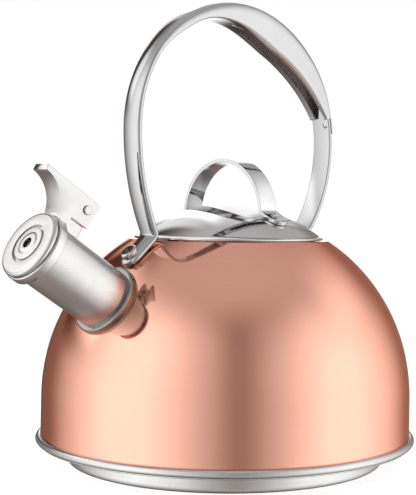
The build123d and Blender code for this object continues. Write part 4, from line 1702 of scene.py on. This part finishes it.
@dataclass
class Handle(Assembly):
    """Arched handle: strap, slit grip, rivet and the fasteners in its feet."""

    body: KettleBody
    front: Leg = Leg(
        reach=64.18, widest_z=169.587, leg_r=121.5, fullness=0.98, apex_x=-3.3, top_z=232.787
    )
    rear: Leg = Leg(
        reach=70.88, widest_z=165.787, leg_r=77.9, fullness=0.808, apex_x=3.3, top_z=232.787
    )
    apex_step: int = 5
    bend_r: float = 4.6
    section: StrapSection = StrapSection(
        width=12.5, edge=2.2, crown=3.6, corner=1.0, shoulder=1.6
    )
    grip_corner: float = 5.0
    grip_round: float = 1.7
    grip_ahead: float = 66.0
    grip_behind: float = 90.5
    grip_wall: float = 0.45
    grip_edge: tuple[float, int, float] = (0.15, 2, 60.0)
    grip_skin: Triple = (-0.08, 1.1, 0.4)
    grip_flare: float = 0.5
    grip_lip: float = 1.6
    grip_depth: float = 14.6
    swell: Pair = (0.19, 0.63)
    fall: Pair = (0.60, 1.02)
    tail: Pair = (0.7, 0.3)
    lip_r: Pair = (0.6, 3.0)
    lip_share: float = 0.4
    slit_start: float = 0.40
    slit_ease: float = 0.05
    slit: Pair = (-4.4, 2.0)
    tongue: float = 9.0
    tongue_rivet: float = 4.2
    tongue_rivet_side: float = 3.5
    tongue_columns: int = 12
    rivet_r: float = 1.2
    rivet_head_r: float = 1.7
    rivet_head_h: float = 0.6
    grip_rows: int = 140
    screw_r: float = 2.5
    screw_head_r: float = 4.4
    screw_head_h: float = 2.6
    screw_edge: float = 1.2
    screw_seat: float = 3.0
    screw_tail: float = -7.61
    recess: Triple = (5.2, 1.3, 1.3)

    kept = ("screw_washers", "screw_nuts")

    # Points of a half section: underside, lip, flank, shoulder, back
    grip_points = (4, 6, 5, 9, 5)

    # Decimals by which the vertices of the grip's grid are put in order
    grid_digits = 5

    def line(self) -> StrapLine:
        """Inner line of the strap from the front foot to the rear foot.

        Returns:
            The line.
        """
        foot = self.body.foot
        steps = mirrored(self.front.steps(foot, self.bend_r))
        steps += reversed_line(foot.place, self.rear.steps(foot, self.bend_r))
        return StrapLine(SIDE, flipped(foot.place), steps, foot.boards(SIDE))

    def grip_section(self, share: float) -> list[Pair]:
        """Outline of the grip from one lip of the slit round its back to the other.

        Args:
            share: Share of the grip's length.

        Returns:
            Points across and outwards from the strap's inner face.
        """
        first, middle, last = self.grip_skin
        swell, full = self.swell
        start = ease(share / swell)
        finish = ease((share - self.tail[0]) / self.tail[1])
        skin = first + (middle - first) * start + (last - middle) * finish
        rise = ease((share - swell) / (full - swell))
        drop = max((share - self.fall[0]) / (self.fall[1] - self.fall[0]), 0.0) ** 2
        under = first + (self.grip_lip - first) * start + (self.grip_depth - self.grip_lip) * rise
        under *= 1 - drop
        depth = max(under, 0.0) / self.grip_depth
        strap = self.section
        half, back, low = strap.half + skin + self.grip_flare * depth, strap.crown + skin, -under
        most = self.grip_corner + self.grip_round * depth
        corner = strap.shoulder + (most - strap.shoulder) * start * (1 - finish)
        crown = Crown(half, back - strap.crown + strap.edge, back, corner)
        shoulder, touch = crown.corner_centre, crown.touch
        bend = atan2(touch[1] - shoulder[1], touch[0] - shoulder[0])
        gap = ease((share - self.slit_start) / self.slit_ease)
        middle_x = sum(self.slit) / 2
        flat, turn, flank, round_off, over = map(shares, self.grip_points)
        sides: list[list[Pair]] = []
        for sign, slit in zip((1, -1), reversed(self.slit)):
            lip_x = sign * (middle_x + (slit - middle_x) * gap)
            lip = self.lip_r[0] + self.lip_r[1] * depth
            lip = min(lip, self.lip_share * (back - low), half - lip_x)
            inner, rim = (half - lip, low), (half, low + lip)
            side = [(lip_x, low)]
            side += [between((lip_x, low), inner, part) for part in flat]
            side += [on_circle((inner[0], rim[1]), lip, pi / 2 * (part - 1)) for part in turn]
            side += [between(rim, (half, shoulder[1]), part) for part in flank]
            side += [on_circle(shoulder, corner, bend * part) for part in round_off]
            for across in (touch[0] * (1 - part) for part in over):
                side.append((across, crown.centre[1] + sqrt(crown.radius**2 - across**2)))
            sides.append([(sign * x, y) for x, y in side])
        right, left = sides
        return right + left[-2::-1]

    def build_grip(self, line: StrapLine) -> Piece:
        """Hollow grip shell round the strap, slit on its underside, with a tongue.

        Args:
            line: Inner line of the strap.

        Returns:
            The piece, with a second material inside.
        """
        length = self.grip_ahead + self.grip_behind
        start, end = line.length_to(self.apex_step) - self.grip_ahead, 1 + self.tongue / length
        columns, rows = len(self.grip_section(0.0)), self.grip_rows
        grid = {"x_subdivisions": columns - 1, "y_subdivisions": rows - 1, "size": 1.0}
        grip = started("handle_shell", bpy.ops.mesh.primitive_grid_add, **grid)
        order = sorted(grip.data.vertices, key=lambda it: it.co.yx.to_tuple(self.grid_digits))
        past, back = set(), set()
        for row in range(rows):
            share = end * row / (rows - 1)
            board = line.at(start + share * length)
            for column, point in enumerate(self.grip_section(min(share, 1.0))):
                vertex = order[row * columns + column]
                vertex.co = board.place(point)
                if share > 1.0:
                    past.add(vertex.index)
                if abs(column - (columns - 1) / 2) <= self.tongue_columns:
                    back.add(vertex.index)
        bpy.ops.object.mode_set(mode="EDIT")
        bpy.ops.mesh.select_mode(type="FACE")
        bpy.ops.mesh.select_all(action="DESELECT")
        mesh = bmesh.from_edit_mesh(grip.data)
        for face in mesh.faces:
            corners = {vertex.index for vertex in face.verts}
            face.select = corners <= past and not corners <= back
        bmesh.update_edit_mesh(grip.data)
        bpy.ops.mesh.delete(type="FACE")
        bpy.ops.mesh.select_mode(type="VERT")
        close_mesh()
        grip.data.materials.append(None)
        grip.data.materials.append(None)
        wall = {"thickness": self.grip_wall * MM, "offset": -1.0, "use_rim": True}
        apply(grip, "SOLIDIFY", material_offset=1, **wall)
        soften(grip, *self.grip_edge)
        return smooth(grip)

    def build_rivet(self, line: StrapLine) -> Piece:
        """Rivet through the grip's tongue and the strap, its head on the inner face.

        Args:
            line: Inner line of the strap.

        Returns:
            The piece.
        """
        board = line.at(line.length_to(self.apex_step) + self.grip_behind + self.tongue_rivet)
        place = board.origin - board.across * self.tongue_rivet_side
        low = self.rivet_head_h - (self.section.crown + self.grip_skin[2])
        inwards = Board(place, board.across, -board.up)
        rivet = stud(inwards, self.rivet_r, self.rivet_head_r, low, 0.0, self.rivet_head_h)
        rivet.name = "grip_stud"
        return smooth(rivet)

    def build_screws(self) -> Piece:
        """Pan-head screw with a cross recess in each foot.

        Returns:
            The piece.
        """
        shank, head, tail, seat = self.screw_r, self.screw_head_r, self.screw_tail, self.screw_seat
        top = seat + self.screw_head_h
        brim, edge_z = head - self.screw_edge, top - self.screw_edge
        length, width, depth = self.recess
        screws = []
        for board in self.body.foot.boards(SIDE):
            pen = Pen("screw", board, (0.0, tail)).walk([
                (shank, tail), (shank, seat), (head, seat), (head, edge_z),
                Arc((brim, edge_z), (brim, top)), (0.0, top),
            ])
            screw = pen.turned(board.up, SCREW_TURN)
            for x, y in ((length / 2, width / 2), (width / 2, length / 2)):
                cut_away(screw, block(board, (-x, top - depth, -y), (x, top + depth, y)))
            screws.append(screw)
        return smooth(joined("foot_screws", screws), angle=35)

    def pieces(self) -> Iterator[Dressed]:
        """Builds each piece, with its finish and the CAD node that it stands for.

        Yields:
            Pieces to dress.
        """
        line = self.line()
        yield line.strap("handle_band", self.section), Finish.HANDLE, "handle_strap"
        yield self.build_grip(line), Finish.HANDLE, "handle_grip"
        yield self.build_rivet(line), Finish.POLISHED, "grip_rivet"
        yield self.build_screws(), Finish.POLISHED, "handle_screws"


# Studio


@dataclass(frozen=True)
class SoftBox:
    """Soft light, full within its core and faded at its reach, in degrees of azimuth and height."""

    azimuth: float
    core: float
    reach: float
    light: float
    rise: Pair
    fade: Pair

    def glow(self, graph: Graph, level: Socket, height: Socket) -> Socket:
        """Adds the box to a world.

        Args:
            graph: Graph of the world.
            level: Level direction, of unit length.
            height: Angle above the horizon in degrees.

        Returns:
            Its light in a direction.
        """
        turn = radians(self.azimuth)
        sockets = {0: level, 1: (cos(turn), sin(turn), 0)}
        facing = graph.add("ShaderNodeVectorMath", sockets, operation="DOT_PRODUCT")
        away = graph.math("ARCCOSINE", graph.math("MINIMUM", facing.outputs["Value"], 1.0))
        light = graph.spread(away, (radians(self.core), radians(self.reach)), self.light, 0.0)
        light = graph.math("MULTIPLY", light, graph.spread(height, self.rise))
        return graph.math("MULTIPLY", light, graph.spread(height, self.fade, 1.0, 0.0))


@dataclass
class Studio:
    """Camera, pale floor and soft light."""

    place: Triple = (-0.437908, -0.461856, 0.133338)
    heading: float = 43.2
    yaw: float = 0.03291
    pitch: float = -0.02133
    roll: float = 0.01566
    lens: float = 88.458
    sensor: float = 36.0
    nearest: float = 0.01
    shift: Pair = (-0.1129, -0.1451)
    floor_r: float = 0.45
    floor_sides: int = 128
    floor_tone: float = 0.82
    floor_glow: float = 0.66
    shade: float = 0.08
    overhead: float = 0.68
    overhead_rise: Pair = (36.0, 68.0)
    # Azimuth, core, reach and light, then the heights over which each rises and fades
    boxes: tuple[SoftBox, ...] = (
        SoftBox(-126.0, 5.0, 50.0, 0.26, rise=(-80.0, -20.0), fade=(35.0, 80.0)),
        SoftBox(163.0, 5.0, 79.0, 1.68, rise=(-75.0, -15.0), fade=(22.0, 100.0)),
        SoftBox(-55.0, 5.0, 77.0, 1.68, rise=(-75.0, -15.0), fade=(10.0, 88.0)),
        SoftBox(8.0, 15.0, 50.0, 0.26, rise=(-60.0, -20.0), fade=(40.0, 75.0)),
        SoftBox(-2.0, 22.0, 50.0, 0.26, rise=(18.0, 36.0), fade=(58.0, 80.0)),
        SoftBox(95.0, 10.0, 45.0, 0.20, rise=(-60.0, -20.0), fade=(4.0, 12.0)),
        SoftBox(48.0, 8.0, 15.0, 1.15, rise=(-30.0, -10.0), fade=(60.0, 85.0)),
        SoftBox(62.0, 6.0, 15.0, 1.05, rise=(14.0, 26.0), fade=(52.0, 70.0)),
        SoftBox(114.0, 9.0, 20.0, 1.0, rise=(12.0, 24.0), fade=(40.0, 55.0)),
        SoftBox(-133.0, 120.0, 180.0, 0.36, rise=(-91.0, -90.0), fade=(-60.0, -20.0)),
    )
    warm: Triple = (1.0, 0.85, 0.79)
    warm_light: Pair = (0.3, 0.8)

    def camera(self) -> None:
        """Sets the camera at the photograph's angle."""
        turn = radians(self.heading) + self.yaw
        side = Vector((cos(turn), -sin(turn), 0))
        level = Vector((sin(turn), cos(turn), 0))
        ahead = level * cos(self.pitch) - Z_AXIS * sin(self.pitch)
        over = level * sin(self.pitch) + Z_AXIS * cos(self.pitch)
        right = side * cos(self.roll) + over * sin(self.roll)
        up = over * cos(self.roll) - side * sin(self.roll)
        turned = Matrix((right, up, -ahead)).transposed()
        bpy.ops.object.camera_add(location=self.place, rotation=turned.to_euler())
        camera = bpy.context.object
        camera.data.sensor_width = self.sensor
        camera.data.lens = self.lens
        camera.data.shift_x, camera.data.shift_y = self.shift
        camera.data.clip_start = self.nearest
        bpy.context.scene.camera = camera

    def floor(self) -> None:
        """Lays a pale floor that keeps the kettle's shadow and that the kettle doesn't mirror."""
        circle = {"vertices": self.floor_sides, "radius": self.floor_r, "fill_type": "NGON"}
        floor = started("floor", bpy.ops.mesh.primitive_circle_add, **circle)
        made = bpy.data.materials.new("pale_floor")
        graph = Graph.of(made)
        diffuse = graph.add("ShaderNodeBsdfDiffuse", {"Color": (self.floor_tone,) * 3 + (1,)})
        path = graph.add("ShaderNodeLightPath").outputs
        strength = graph.math("MULTIPLY", path["Is Camera Ray"], self.floor_glow)
        glow = graph.add("ShaderNodeEmission", {"Strength": strength})
        both = graph.add("ShaderNodeAddShader", {0: diffuse.outputs[0], 1: glow.outputs[0]})
        clear = graph.add("ShaderNodeBsdfTransparent")
        sockets = {0: path["Is Glossy Ray"], 1: both.outputs[0], 2: clear.outputs[0]}
        shown = graph.add("ShaderNodeMixShader", sockets)
        graph.add("ShaderNodeOutputMaterial", {"Surface": shown.outputs[0]})
        floor.data.materials.append(made)

    def world(self) -> None:
        """Lights the kettle with soft boxes and an even light overhead, seen against white."""
        world = bpy.data.worlds.new("studio")
        graph = Graph.of(world)
        way = graph.add("ShaderNodeTexCoord").outputs["Generated"]
        level, upwards = graph.level(way, "NORMALIZE")
        height = graph.math("DEGREES", graph.math("ARCSINE", upwards))
        light: object = self.shade
        for box in self.boxes:
            light = graph.math("ADD", light, box.glow(graph, level.outputs[0], height))
        sockets = {0: graph.spread(height, self.overhead_rise), 2: light, 3: self.overhead}
        light = graph.add("ShaderNodeMix", sockets, data_type="FLOAT").outputs[0]
        tint = graph.mix(graph.spread(light, self.warm_light), (*self.warm, 1), WHITE)
        boxes = graph.add("ShaderNodeBackground", {"Color": tint, "Strength": light})
        white = graph.add("ShaderNodeBackground", {"Color": WHITE})
        seen = graph.add("ShaderNodeLightPath").outputs["Is Camera Ray"]
        both = graph.add("ShaderNodeMixShader", {0: seen, 1: boxes.outputs[0], 2: white.outputs[0]})
        graph.add("ShaderNodeOutputWorld", {"Surface": both.outputs[0]})
        bpy.context.scene.world = world

    def build(self) -> None:
        """Sets up the studio."""
        self.camera()
        self.floor()
        self.world()
        bpy.context.scene.view_settings.view_transform = "Standard"


def main() -> None:
    """Builds the studio and each sub-assembly in order."""
    logging.basicConfig(level=logging.INFO, format="%(name)s %(message)s")
    Studio().build()
    wardrobe = Wardrobe()
    spout = Spout()
    body = KettleBody(spout)
    for assembly in (body, spout, Whistle(spout), Lid(), Handle(body)):
        assembly.build(wardrobe)


if __name__ == "__main__":
    main()
